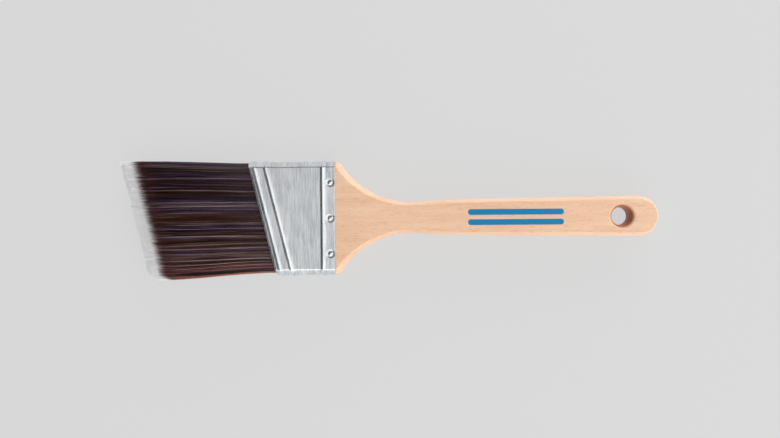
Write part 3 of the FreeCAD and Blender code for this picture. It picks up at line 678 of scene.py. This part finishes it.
def handle_stations():
    """The upper half of the handle's outline, from the shoulder to the end: points and outward normals."""
    rounding, flare = 3.6 * MM, 46.5 * MM
    neck_x, neck_half = 12.45 * MM, 8.75 * MM
    belly_end, end_radius = 70.0 * MM, 11.3 * MM
    cap_x = END_X - end_radius
    flare_y = neck_half + flare
    corner_y = HALF_WIDTH - rounding
    corner_x = neck_x - math.sqrt((flare + rounding) ** 2 - (flare_y - corner_y) ** 2)
    corner_turn = math.atan2(flare_y - corner_y, neck_x - corner_x)
    rise = 0.06
    shoulder_x = np.linspace(REAR_X, corner_x, 4)[:-1]
    shoulder = np.column_stack((shoulder_x, np.full(3, HALF_WIDTH), np.zeros(3), np.ones(3)))
    corner = arc((corner_x, corner_y), rounding, math.pi / 2, corner_turn, 9)
    sweep = arc((neck_x, flare_y), flare, math.pi + corner_turn, math.pi * 1.5 + rise, 46, -1.0)
    start = sweep[-1, :2]
    finish = np.array((belly_end, end_radius - 0.01 * (cap_x - belly_end)))
    part = np.linspace(0, 1, 40)[:, None]
    sag = (finish[0] - start[0]) ** 2 / (8 * 1050 * MM)
    belly = start + part * (finish - start) + part * (1 - part) * np.array((0, 4 * sag))
    taper = finish + np.linspace(0, 1, 34)[:, None] * (np.array((cap_x, end_radius)) - finish)
    run = np.vstack((belly[1:-1], taper[:-1]))
    along = np.gradient(run, axis=0)
    along /= np.linalg.norm(along, axis=1)[:, None]
    run = np.column_stack((run, -along[:, 1], along[:, 0]))
    cap = arc((cap_x, 0), end_radius, math.pi / 2, 0.0, 25)
    return np.vstack((shoulder, corner, sweep[1:], run, cap))


def half_depth_at(x):
    """Half the handle's thickness: full at the shoulder and in the grip, thin at the neck and end."""
    millimetres = x / MM
    to_neck = np.clip((millimetres + 20) / 40, 0, 1)
    to_grip = np.clip((millimetres - 20) / 42, 0, 1)
    to_tail = np.clip((millimetres - 62) / 90, 0, None)
    return (8.0 - 0.7 * smooth(to_neck) + 0.4 * smooth(to_grip) - 0.8 * to_tail**2) * MM


def side_inset_at(x):
    """How far the flat face ends inside the outline."""
    into = np.clip((x - REAR_X) / (38 * MM), 0, 1)
    return (3.5 - 1.4 * into * (2 - into)) * MM


def handle_loop(station, steps, crease, grown=0.0, plain=False):
    """One closed row of points round the handle at an outline station, and its mirror side."""
    x, y, normal_x, normal_y = station
    depth = HALF_DEPTH if plain else float(half_depth_at(x))
    inset = 3.5 * MM if plain else float(side_inset_at(x))
    radius = (inset**2 + depth**2) / (2 * inset)
    insets, heights, _, _ = edge_profile(depth, radius, crease, grown, crease_steps=5)
    edge_x = x - insets * normal_x
    edge_y = np.maximum(y - insets * normal_y, 0.0)
    shares = np.linspace(1, -1, steps)[1:-1]
    flat_x = np.full(steps - 2, edge_x[0])
    if not plain:
        heights = heights * half_depth_at(edge_x) / depth
    top = np.column_stack((flat_x, shares * edge_y[0], np.full(steps - 2, heights[0])))
    down = np.column_stack((edge_x, -edge_y, heights))
    bottom = np.column_stack((flat_x, -shares * edge_y[-1], np.full(steps - 2, heights[-1])))
    up = np.column_stack((edge_x, edge_y, heights))[::-1]
    return np.vstack((top, down, bottom, up)) + np.array((0, 0, MIDDLE_Z))


def hole_cutter():
    """A turned plug with the hanging hole's throat, flared wall and eased rim."""
    face = float(half_depth_at(HANG_X))
    throat, straight, flare = 4.9 * MM, 1.5 * MM, 8.786 * MM
    top = face - 0.35 * MM
    profile = [(throat, straight)]
    for part in np.linspace(0, 1, 15)[1:]:
        height = straight + part * (top - straight)
        profile.append((throat + flare - math.sqrt(flare**2 - (height - straight) ** 2), height))
    rim = profile[-1][0]
    for out, rise in ((0.24, -0.14), (0.45, -0.03), (0.75, 0.05), (0.75, 3.0)):
        profile.append((rim + out * MM, face + rise * MM))
    profile = [(radius, -height) for radius, height in reversed(profile)] + profile
    segments = 96
    points, faces = turned(profile, segments)
    points = [(HANG_X + x, y, MIDDLE_Z + z) for x, y, z in points]
    faces.append(tuple(range(segments))[::-1])
    faces.append(tuple(range(len(points) - segments, len(points))))
    return closed_mesh("hole_cutter", np.array(points), faces)


def handle_mesh(settings):
    """The handle with its tang, then the hanging hole cut through."""
    steps = 15
    stations = handle_stations()
    loops = []
    for setback in (16.0, 8.0, 0.4, 0.0):
        station = (REAR_X - setback * MM, HALF_WIDTH, 0.0, 1.0)
        loops.append(handle_loop(station, steps, CREASE, -0.5 * MM, plain=True))
    loops.append(handle_loop(stations[0], steps, CREASE, plain=True))
    for index, station in enumerate(stations[1:], start=1):
        crease = max(settings.crease, (0.8 - 0.03 * index) * MM)
        loops.append(handle_loop(station, steps, crease))
    size = len(loops[0])
    faces = [tuple(range(size))]
    for i in range(len(loops) - 1):
        faces += ring_faces(i * size, (i + 1) * size, size)
    points = np.vstack(loops)
    mesh = bpy.data.meshes.new("handle_blank")
    mesh.from_pydata(points.tolist(), [], faces)
    blank = bmesh.new()
    blank.from_mesh(mesh)
    blank.verts.ensure_lookup_table()
    # The last row is one upright line, so its two sides are joined and closed.
    bmesh.ops.remove_doubles(blank, verts=blank.verts, dist=0.5e-6)
    bmesh.ops.dissolve_degenerate(blank, edges=blank.edges, dist=1e-8)
    bmesh.ops.recalc_face_normals(blank, faces=blank.faces)
    blank.to_mesh(mesh)
    blank.free()
    return cut(mesh, hole_cutter())


def cut(mesh, tool_mesh):
    """The first mesh with the second taken away."""
    blank, tool = put("blank", mesh), put("tool", tool_mesh)
    boolean = blank.modifiers.new("cut", "BOOLEAN")
    boolean.operation = "DIFFERENCE"
    boolean.solver = "EXACT"
    boolean.object = tool
    result = evaluated_mesh(blank)
    for part in (blank, tool):
        bpy.data.objects.remove(part)
    clean = bmesh.new()
    clean.from_mesh(result)
    bmesh.ops.remove_doubles(clean, verts=clean.verts, dist=2e-6)
    bmesh.ops.dissolve_degenerate(clean, edges=clean.edges, dist=1e-6)
    clean.to_mesh(result)
    clean.free()
    result.shade_smooth()
    result.set_sharp_from_angle(angle=math.radians(38))
    return result


def evaluated_mesh(source):
    """A plain mesh of an object with its modifiers applied."""
    bpy.context.view_layer.update()
    depsgraph = bpy.context.evaluated_depsgraph_get()
    return bpy.data.meshes.new_from_object(
        source.evaluated_get(depsgraph), preserve_all_data_layers=True, depsgraph=depsgraph
    )


# The nails

NAIL_INPUTS = {
    "Place": -0.0325,
    "Pitch": 0.01965,
    "Seat Height": 0.016,
    "Turn": 0.0,
    "Head Radius": 0.0013,
    "Head Rise": 0.0006,
    "Shank Radius": 0.0006,
    "Shank Length": 0.0045,
    "Material": None,
}


def nail_tree():
    """Geometry nodes that set a row of round-headed nails across one face of the ferrule."""
    tree = bpy.data.node_groups.new("nail_row", "GeometryNodeTree")
    add_inputs(tree, NAIL_INPUTS)
    graph = Graph(tree)
    given = graph.node("NodeGroupInput")
    index = graph.node("GeometryNodeInputIndex")
    across = (index - 1.0) * given.out("Pitch")
    seat = graph.vector(given.out("Place"), across, given.out("Seat Height"))
    seats = graph.node("GeometryNodePoints", {}, {"Count": 3, "Position": seat})
    # Along the axis: the nail's point, the shank's two ends, then steps over the dome.
    head_steps = 14
    dome = ((index - 3.0) / head_steps).at_least(0.0).at_most(1.0) * (math.pi / 2)
    on_head = graph.math("GREATER_THAN", index, 2.5)
    at_point = graph.math("LESS_THAN", index, 0.5)
    under_head = given.out("Shank Length") * graph.math("LESS_THAN", index, 1.5) + 0.02 * MM
    rise = graph.math("SINE", dome) * given.out("Head Rise")
    height = on_head * rise - (1.0 - on_head) * under_head - at_point * (1.6 * MM)
    head = graph.math("COSINE", dome) * given.out("Head Radius")
    shank = given.out("Shank Radius") * (1.0 - at_point * 0.9)
    radius = (on_head * head + (1.0 - on_head) * shank).at_least(0.015 * MM)
    axis = graph.node("GeometryNodeCurvePrimitiveLine", {}, {"Start": (0, 0, -1), "End": (0, 0, 1)})
    axis = graph.node("GeometryNodeResampleCurve", {}, {"Curve": axis, "Count": head_steps + 4})
    axis = graph.node("GeometryNodeSetCurveRadius", {}, {"Curve": axis, "Radius": radius})
    axis = graph.node("GeometryNodeSetPosition", {}, {"Geometry": axis, "Position": graph.vector(z=height)})
    nail = sweep(graph, axis, 32)
    turn = graph.node("FunctionNodeEulerToRotation", {}, {"Euler": graph.vector(given.out("Turn"))})
    inputs = {"Points": seats, "Instance": nail, "Rotation": turn}
    nails = graph.node("GeometryNodeInstanceOnPoints", {}, inputs)
    finish_tree(graph, nails, given)
    return tree


def add_inputs(tree, inputs):
    """Gives a geometry tree its output and its named inputs."""
    tree.interface.new_socket("Geometry", in_out="OUTPUT", socket_type="NodeSocketGeometry")
    kinds = {float: "NodeSocketFloat", int: "NodeSocketInt", type(None): "NodeSocketMaterial"}
    for name, default in inputs.items():
        socket = tree.interface.new_socket(name, in_out="INPUT", socket_type=kinds[type(default)])
        if default is not None:
            socket.default_value = default


def sweep(graph, curve, sides):
    """A capped tube round a curve, as thick as the curve's own radius."""
    outline = graph.node("GeometryNodeCurvePrimitiveCircle", {}, {"Resolution": sides, "Radius": 1.0})
    thickness = kept(graph, "radius", "FLOAT")
    inputs = {"Curve": curve, "Profile Curve": outline, "Scale": thickness, "Fill Caps": True}
    return graph.node("GeometryNodeCurveToMesh", {}, inputs)


def kept(graph, name, data_type):
    """A value that the geometry keeps under a name."""
    settings = {"data_type": data_type}
    return graph.node("GeometryNodeInputNamedAttribute", settings, {"Name": name}, "Attribute")


def finish_tree(graph, mesh, given):
    """Ends a geometry tree in a smooth real mesh with its material."""
    mesh = graph.node("GeometryNodeSetShadeSmooth", {}, {"Geometry": mesh})
    mesh = graph.node("GeometryNodeRealizeInstances", {}, {"Geometry": mesh})
    inputs = {"Geometry": mesh, "Material": given.out("Material")}
    mesh = graph.node("GeometryNodeSetMaterial", {}, inputs)
    graph.node("NodeGroupOutput", {}, {"Geometry": mesh})


# The filaments

BANK_INPUTS = {
    "Count": 1000,
    "Inner Edge": -0.024,
    "Outer Edge": 0.024,
    "Bulge": 0.0,
    "Lower Layer": 0.3,
    "Upper Layer": 1.0,
    "Free Length": 0.073,
    "Seated Length": 0.006,
    "Root Radius": 0.00014,
    "Tip Radius": 0.00005,
    "Material": None,
    "Seed": 1,
}


def filament_tree():
    """Geometry nodes that grow a bank of tapered filaments between two edges and two layers of the head."""
    tree = bpy.data.node_groups.new("filament_bank", "GeometryNodeTree")
    add_inputs(tree, BANK_INPUTS)
    graph = Graph(tree)
    given = graph.node("NodeGroupInput")
    seed = given.out("Seed")
    layer = random_between(graph, given.out("Lower Layer"), given.out("Upper Layer"), seed)
    edge = given.out("Outer Edge") - given.out("Bulge") * layer * layer
    across = random_between(graph, given.out("Inner Edge"), edge, seed + 7.0)
    inputs = {"Count": given.out("Count"), "Position": graph.vector(0.0, across, layer)}
    roots = graph.node("GeometryNodePoints", {}, inputs)
    line = graph.node("GeometryNodeCurvePrimitiveLine", {}, {"Start": (0, 0, 0), "End": (1, 0, 0)})
    line = graph.node("GeometryNodeResampleCurve", {}, {"Curve": line, "Count": 7})
    strands = graph.node("GeometryNodeInstanceOnPoints", {}, {"Points": roots, "Instance": line})
    strands = graph.node("GeometryNodeRealizeInstances", {}, {"Geometry": strands})
    plan = graph.node("GeometryNodeInputPosition")
    strands = store(graph, strands, "plan", plan, "FLOAT_VECTOR", "POINT")
    place, radius, _ = filament_course(graph, given, plan)
    strands = graph.node("GeometryNodeSetCurveRadius", {}, {"Curve": strands, "Radius": radius})
    strands = graph.node("GeometryNodeSetPosition", {}, {"Geometry": strands, "Position": place})
    mesh = sweep(graph, strands, 3)
    _, _, lookup = filament_course(graph, given, kept(graph, "plan", "FLOAT_VECTOR"))
    mesh = store(graph, mesh, BAKE_MAP, lookup, "FLOAT2", "CORNER")
    finish_tree(graph, mesh, given)
    return tree


def random_between(graph, low, high, seed):
    """One random number for each point."""
    inputs = {"Min_001": low, "Max_001": high, "Seed": seed}
    return graph.node("FunctionNodeRandomValue", {"data_type": "FLOAT"}, inputs, "Value_001")


def store(graph, geometry, name, value, data_type, domain):
    """Keeps a value on the geometry under a name."""
    settings = {"data_type": data_type, "domain": domain}
    inputs = {"Geometry": geometry, "Name": name, "Value": value}
    return graph.node("GeometryNodeStoreNamedAttribute", settings, inputs)


def filament_course(graph, given, plan):
    """Where a point of a filament goes, its radius, and its place on the bake map.

    The plan is (share of the length from root to tip, distance across at the root, layer from -1 to 1).
    """
    share, across, layer = graph.split(plan)
    root = graph.vector(0.0, across * 1000.0, layer)
    white = {"noise_dimensions": "3D"}
    chances = graph.node("ShaderNodeTexWhiteNoise", white, {"Vector": root}, "Color")
    first, second, third = graph.split(chances)
    free, seated = given.out("Free Length"), given.out("Seated Length")
    clump = graph.noise(root, (1.1, 0.7, 0.5), 2.0, 0.6)
    broad = graph.noise(root, (1.0, 5.5, 2.0), 1.0)
    # How far the filament reaches: uneven ends, a crowned head, a rounded heel.
    toe = graph.step(across, 0.0, 31 * MM)
    heel = graph.step(across, -27.0 * MM, -30.5 * MM)
    ragged = (first - 0.5) * (3.0 * MM) + (clump - 0.5) * (3.2 * MM)
    reach = free + ragged - layer * layer * (2.4 * MM) - heel * heel * (5.0 * MM) - toe * (0.2 * MM)
    travelled = share * (reach + seated) - seated
    out = (travelled / reach).at_least(0.0)
    # Where it goes: the head swells, fans out and closes again, and each filament bows and drifts.
    swell = 7.0 + out * 2.6 - out**3.0 * 7.6
    bow = (second - 0.5) * (1.5 * MM) * out * (1.0 - out)
    fan = graph.step(out, 0.0, 0.92) * across * graph.step(across, -31 * MM, 31 * MM, 0.116, 0.055)
    even = (1, 1, 1)
    drift = graph.noise(graph.vector(out * 1.6, across * 260.0, layer * 2.0), even, 1.0)
    sway = (drift - 0.5) * (3.4 * MM) * out
    x = MOUTH_X - LEAN * across - travelled - across * out * 0.018
    y = across + fan + bow + sway
    z = MIDDLE_Z + layer * swell * MM + (third - 0.5) * (0.5 * MM) * out
    place = graph.vector(x, y, z)
    thin = out**1.6
    radius = given.out("Root Radius") * (1.0 - thin) + given.out("Tip Radius") * thin
    # Its colour: a tone by clump, patch and filament, lighter towards the heel, and brown or violet.
    patch = graph.noise(graph.vector(out * 3.0, across * 800.0, layer * 2.0 + 9.0), even, 1.0)
    tone = 0.43 + (clump - 0.5) * 2.5 + (broad - 0.5) * 0.8 + (second - 0.5) * 0.8
    bright = graph.step(third, 0.975, 0.99)
    # The outermost heel filaments are brighter and brown: rust colour, and a painted highlight where the
    # heel edge catches light.
    heel_edge_rust_and_highlight = graph.step(across, -28.3 * MM, -29.9 * MM)
    lift = graph.step(across, 8 * MM, -24 * MM) * out * 0.20
    level = tone + lift + (patch - 0.5) * 0.9 + bright * 0.6 + heel_edge_rust_and_highlight * 0.55
    level = level.at_least(0.03).at_most(0.93)
    hue = graph.noise(root, (1.0, 2.6, 0.8), 1.0) + (second - 0.5) * 0.12 - heel_edge_rust_and_highlight * 0.5
    tone = level * SHADES_SPAN + graph.math("GREATER_THAN", hue, 0.5) * VIOLET_START
    # Each corner of a triangle has a place of its own on the map.
    corner = graph.math("MODULO", graph.node("GeometryNodeInputIndex"), 3.0)
    along = (out + (second - 0.5) * 0.06 + (clump - 0.5) * 0.07).at_least(0.02).at_most(0.98)
    lookup = graph.vector(tone + corner * 0.006, along)
    return place, radius, lookup


def grow(tree, values):
    """A geometry tree's result as a plain mesh."""
    grower = put("grower", bpy.data.meshes.new("grower"))
    modifier = grower.modifiers.new("nodes", "NODES")
    modifier.node_group = tree
    for item in tree.interface.items_tree:
        if item.in_out == "INPUT":
            modifier[item.identifier] = values[item.name]
    mesh = evaluated_mesh(grower)
    bpy.data.objects.remove(grower)
    if not mesh.polygons:
        raise RuntimeError(f"{tree.name} made nothing")
    return mesh


def grow_bank(tree, name, material, values, seed):
    """One bank of filaments as a plain mesh."""
    mesh = grow(tree, {**values, "Material": material, "Seed": seed})
    if "plan" in mesh.attributes:
        mesh.attributes.remove(mesh.attributes["plan"])
    if BAKE_MAP not in mesh.uv_layers:
        raise RuntimeError(f"{name} has no bake map")
    return mesh


# Operators


class TRIMBRUSH_OT_stage(bpy.types.Operator):
    """Add the pale floor, the soft lights and the overhead camera"""

    bl_idname = "trim_brush.stage"
    bl_label = "Stage"

    def execute(self, context):
        settings = context.scene.trim_brush.stage
        self.add_floor(settings)
        self.add_world(context.scene, settings)
        self.add_panel("overhead_panel", (-0.05, -0.28, 1.1), (1.0, 1.7), settings.overhead)
        self.add_panel("key_panel", (1.05, 0.0, 0.85), (1.3, 1.7), settings.key)
        self.add_panel("toe_panel", (0.45, 1.05, 0.33), (1.4, 0.6), settings.toe_fill, glossy=False)
        corner_fill = settings.corner_fill
        self.add_panel("heel_corner_panel", (0.7, -0.95, 0.55), (1.0, 0.9), corner_fill, glossy=False)
        self.add_panel("heel_panel", (0.1, -1.1, 0.62), (1.8, 1.2), settings.heel_fill)
        self.add_camera(context.scene, settings)
        return {"FINISHED"}

    def add_floor(self, settings):
        """A round floor that bends up into a low wall, and a backdrop on it that only the camera sees."""
        material, graph = new_material("floor")
        shade(
            graph,
            Base_Color=tuple(settings.floor),
            Roughness=0.9,
            Specular_IOR_Level=0.0,
            Emission_Color=(1, 1, 1, 1),
            Emission_Strength=settings.floor_glow,
        )
        reach, bend, wall, top = 2.2, 0.3, 0.62, 1.8
        profile = [(reach / 3, 0.0), (reach, 0.0)]
        for turn in np.linspace(0, math.pi / 2, 9)[1:]:
            profile.append((reach + bend * math.sin(turn), bend - bend * math.cos(turn)))
        profile.append((reach + bend, wall))
        self.add_round("floor", profile, True, material)
        profile = [(reach + bend, wall), (reach + bend, top)]
        backdrop = self.add_round("backdrop", profile, False, material)
        backdrop.visible_diffuse = False
        backdrop.visible_glossy = False
        backdrop.visible_shadow = False

    def add_round(self, name, profile, closed, material):
        """A turned sheet that faces inwards, from a profile of (radius, height)."""
        segments = 72
        points, faces = turned(profile, segments)
        faces = [face[::-1] for face in faces]
        if closed:
            faces.append(tuple(range(segments)))
        mesh = bpy.data.meshes.new(name)
        mesh.from_pydata(points, [], faces)
        mesh.shade_smooth()
        mesh.materials.append(material)
        sheet = put(name, mesh)
        return sheet

    def add_world(self, scene, settings):
        scene.world = bpy.data.worlds.new("room")
        scene.world.use_nodes = True
        scene.world.node_tree.nodes.clear()
        graph = Graph(scene.world.node_tree)
        light = {"Color": (1, 1, 1, 1), "Strength": settings.world}
        room = graph.node("ShaderNodeBackground", {}, light)
        graph.node("ShaderNodeOutputWorld", {}, {"Surface": room})
        scene.view_settings.view_transform = "Standard"

    def add_panel(self, name, place, size, radiance, glossy=True):
        """A rectangular light that faces the brush. One that isn't glossy has no reflection."""
        light = bpy.data.lights.new(name, "AREA")
        light.shape = "RECTANGLE"
        light.size, light.size_y = size
        light.energy = radiance * math.pi * size[0] * size[1]
        panel = put(name, light)
        aim = (-Matrix.Translation(place).translation).to_track_quat("-Z", "Y")
        panel.matrix_world = Matrix.Translation(place) @ aim.to_matrix().to_4x4()
        panel.visible_glossy = glossy

    def add_camera(self, scene, settings):
        camera = bpy.data.cameras.new("overhead_camera")
        camera.sensor_width = 36
        camera.lens = camera.sensor_width / 2 / math.tan(settings.view_width / 2)
        camera.clip_start = 0.01
        centre_x, centre_y, roll = 0.45 * MM, -0.7 * MM, math.radians(-0.42)
        holder = put("overhead_camera", camera)
        holder.location = (centre_x, centre_y, MIDDLE_Z + settings.height)
        holder.rotation_euler = (0, 0, roll)
        scene.camera = holder


class TRIMBRUSH_OT_ferrule(bpy.types.Operator):
    """Build the beaded steel ferrule"""

    bl_idname = "trim_brush.ferrule"
    bl_label = "Ferrule"

    def execute(self, context):
        settings = context.scene.trim_brush.ferrule
        steel = brushed_steel("ferrule_steel", settings.steel_light, settings.steel_dark)
        new_piece("ferrule_sheet", ferrule_mesh(settings), steel, ["ferrule"])
        return {"FINISHED"}


class TRIMBRUSH_OT_handle(bpy.types.Operator):
    """Build the beech handle with its hanging hole"""

    bl_idname = "trim_brush.handle"
    bl_label = "Handle"

    def execute(self, context):
        settings = context.scene.trim_brush.handle
        new_piece("handle_wood", handle_mesh(settings), beech(settings), ["handle"])
        return {"FINISHED"}


class TRIMBRUSH_OT_core(bpy.types.Operator):
    """Finish the nails, the resin and the spacer plugs"""

    bl_idname = "trim_brush.core"
    bl_label = "Nails and Core"

    def execute(self, context):
        steel = brushed_steel("nail_steel", (0.9, 0.91, 0.92, 1), (0.72, 0.73, 0.75, 1), 0.14)
        tree = nail_tree()
        settings = context.scene.trim_brush.nails
        seat = HALF_DEPTH - context.scene.trim_brush.ferrule.nail_dish
        for name, side in (("front", 1), ("back", -1)):
            values = {
                "Place": NAIL_X,
                "Pitch": NAIL_PITCH,
                "Seat Height": MIDDLE_Z + side * seat,
                "Turn": 0.0 if side > 0 else math.pi,
                "Head Radius": settings.head_radius,
                "Head Rise": settings.head_rise,
                "Shank Radius": settings.shank_radius,
                "Shank Length": settings.shank_length,
                "Material": steel,
            }
            row = grow(tree, values)
            new_piece(f"nail_row_{name}", row, steel, [f"nails_{name}"])
        finishes = {"epoxy_set": cast_resin(), "spacer_plug": sawn_softwood()}
        for node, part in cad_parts.items():
            for start, material in finishes.items():
                if node.startswith(start):
                    part.data.materials.clear()
                    part.data.materials.append(material)
        return {"FINISHED"}


class TRIMBRUSH_OT_filaments(bpy.types.Operator):
    """Grow the five banks of filaments"""

    bl_idname = "trim_brush.filaments"
    bl_label = "Filaments"

    def execute(self, context):
        settings = context.scene.trim_brush.filaments
        cool = head_material("filament_dark", filament_stops(settings), settings.tip_colour)
        warm = head_material("filament_heel", filament_stops(settings, heel=0.9), settings.tip_colour)
        # The toe bank's colours are darkened towards black: painted shade on the side that the toe panel
        # lights.
        deep = head_material("filament_toe_shaded", filament_stops(settings, toe=0.64), settings.tip_colour)
        tree = filament_tree()
        common = {
            "Free Length": settings.free_length,
            "Seated Length": settings.seated,
            "Root Radius": settings.root_radius,
            "Tip Radius": settings.tip_radius,
        }
        edge, toe_side, heel_side = 24.2 * MM, 31.0 * MM, 30.3 * MM
        banks = (
            ("front", cool, settings.face_count, -edge, edge, 0.0, 0.30, 1.0),
            ("middle", cool, settings.core_count, -edge, edge, 0.0, -0.28, 0.28),
            ("back", cool, settings.face_count, -edge, edge, 0.0, -1.0, -0.30),
            ("toe", deep, settings.edge_count, edge, toe_side, 3.0 * MM, -1.0, 1.0),
            ("heel", warm, settings.edge_count, -edge, -heel_side, -3.0 * MM, -1.0, 1.0),
        )
        for seed, (name, material, number, inner, outer, bulge, lower, upper) in enumerate(banks, start=11):
            values = {"Count": number, "Inner Edge": inner, "Outer Edge": outer, "Bulge": bulge}
            values.update({"Lower Layer": lower, "Upper Layer": upper}, **common)
            bank = grow_bank(tree, name, material, values, seed)
            new_piece(f"filaments_{name}", bank, material, [f"bristles_{name}"])
        return {"FINISHED"}


def blend(first, second, factor):
    """A colour between two colours."""
    return tuple(a + (b - a) * factor for a, b in zip(first, second))


def filament_stops(settings, heel=0.0, toe=0.0):
    """Ramp stops: browns from dark to bright, then violets. Heel adds rust, and toe darkens as painted
    shade.
    """
    brown = (0.005, 0.001, 0.001), (0.024, 0.005, 0.003), (0.070, 0.018, 0.006), (0.145, 0.050, 0.022)
    violet = (0.004, 0.001, 0.002), (0.019, 0.004, 0.009), (0.050, 0.016, 0.040), (0.105, 0.048, 0.12)
    silver, black = (0.42, 0.32, 0.34), (0, 0, 0)
    stops = []
    for start, shades in ((0.0, brown), (VIOLET_START, violet)):
        for index, shade_of in enumerate((*shades, silver)):
            level = index / len(shades)
            # Heel mixes in rust; toe mixes towards black as painted shade.
            mixed = blend(blend(shade_of, settings.rust, heel * level**3.2), black, toe)
            stops.append((start + level * SHADES_SPAN, (*mixed, 1)))
    return stops


class TRIMBRUSH_PT_parts(bpy.types.Panel):
    """The brush's pieces"""

    bl_idname = "TRIMBRUSH_PT_parts"
    bl_label = "Trim Brush"
    bl_space_type = "VIEW_3D"
    bl_region_type = "UI"
    bl_category = "Trim Brush"

    def draw(self, context):
        for operator in OPERATORS:
            self.layout.operator(operator.bl_idname)


GROUPS = (
    FerruleSettings,
    HandleSettings,
    NailSettings,
    FilamentSettings,
    StageSettings,
    BrushSettings,
)
OPERATORS = (
    TRIMBRUSH_OT_stage,
    TRIMBRUSH_OT_ferrule,
    TRIMBRUSH_OT_handle,
    TRIMBRUSH_OT_core,
    TRIMBRUSH_OT_filaments,
)


def register():
    for kind in (*GROUPS, *OPERATORS, TRIMBRUSH_PT_parts):
        bpy.utils.register_class(kind)
    bpy.types.Scene.trim_brush = PointerProperty(type=BrushSettings)


def unregister():
    del bpy.types.Scene.trim_brush
    for kind in reversed((*GROUPS, *OPERATORS, TRIMBRUSH_PT_parts)):
        bpy.utils.unregister_class(kind)


def main():
    """Builds the stage and every piece."""
    register()
    bpy.ops.trim_brush.stage()
    bpy.ops.trim_brush.ferrule()
    bpy.ops.trim_brush.handle()
    bpy.ops.trim_brush.core()
    bpy.ops.trim_brush.filaments()


if __name__ == "__main__":
    main()
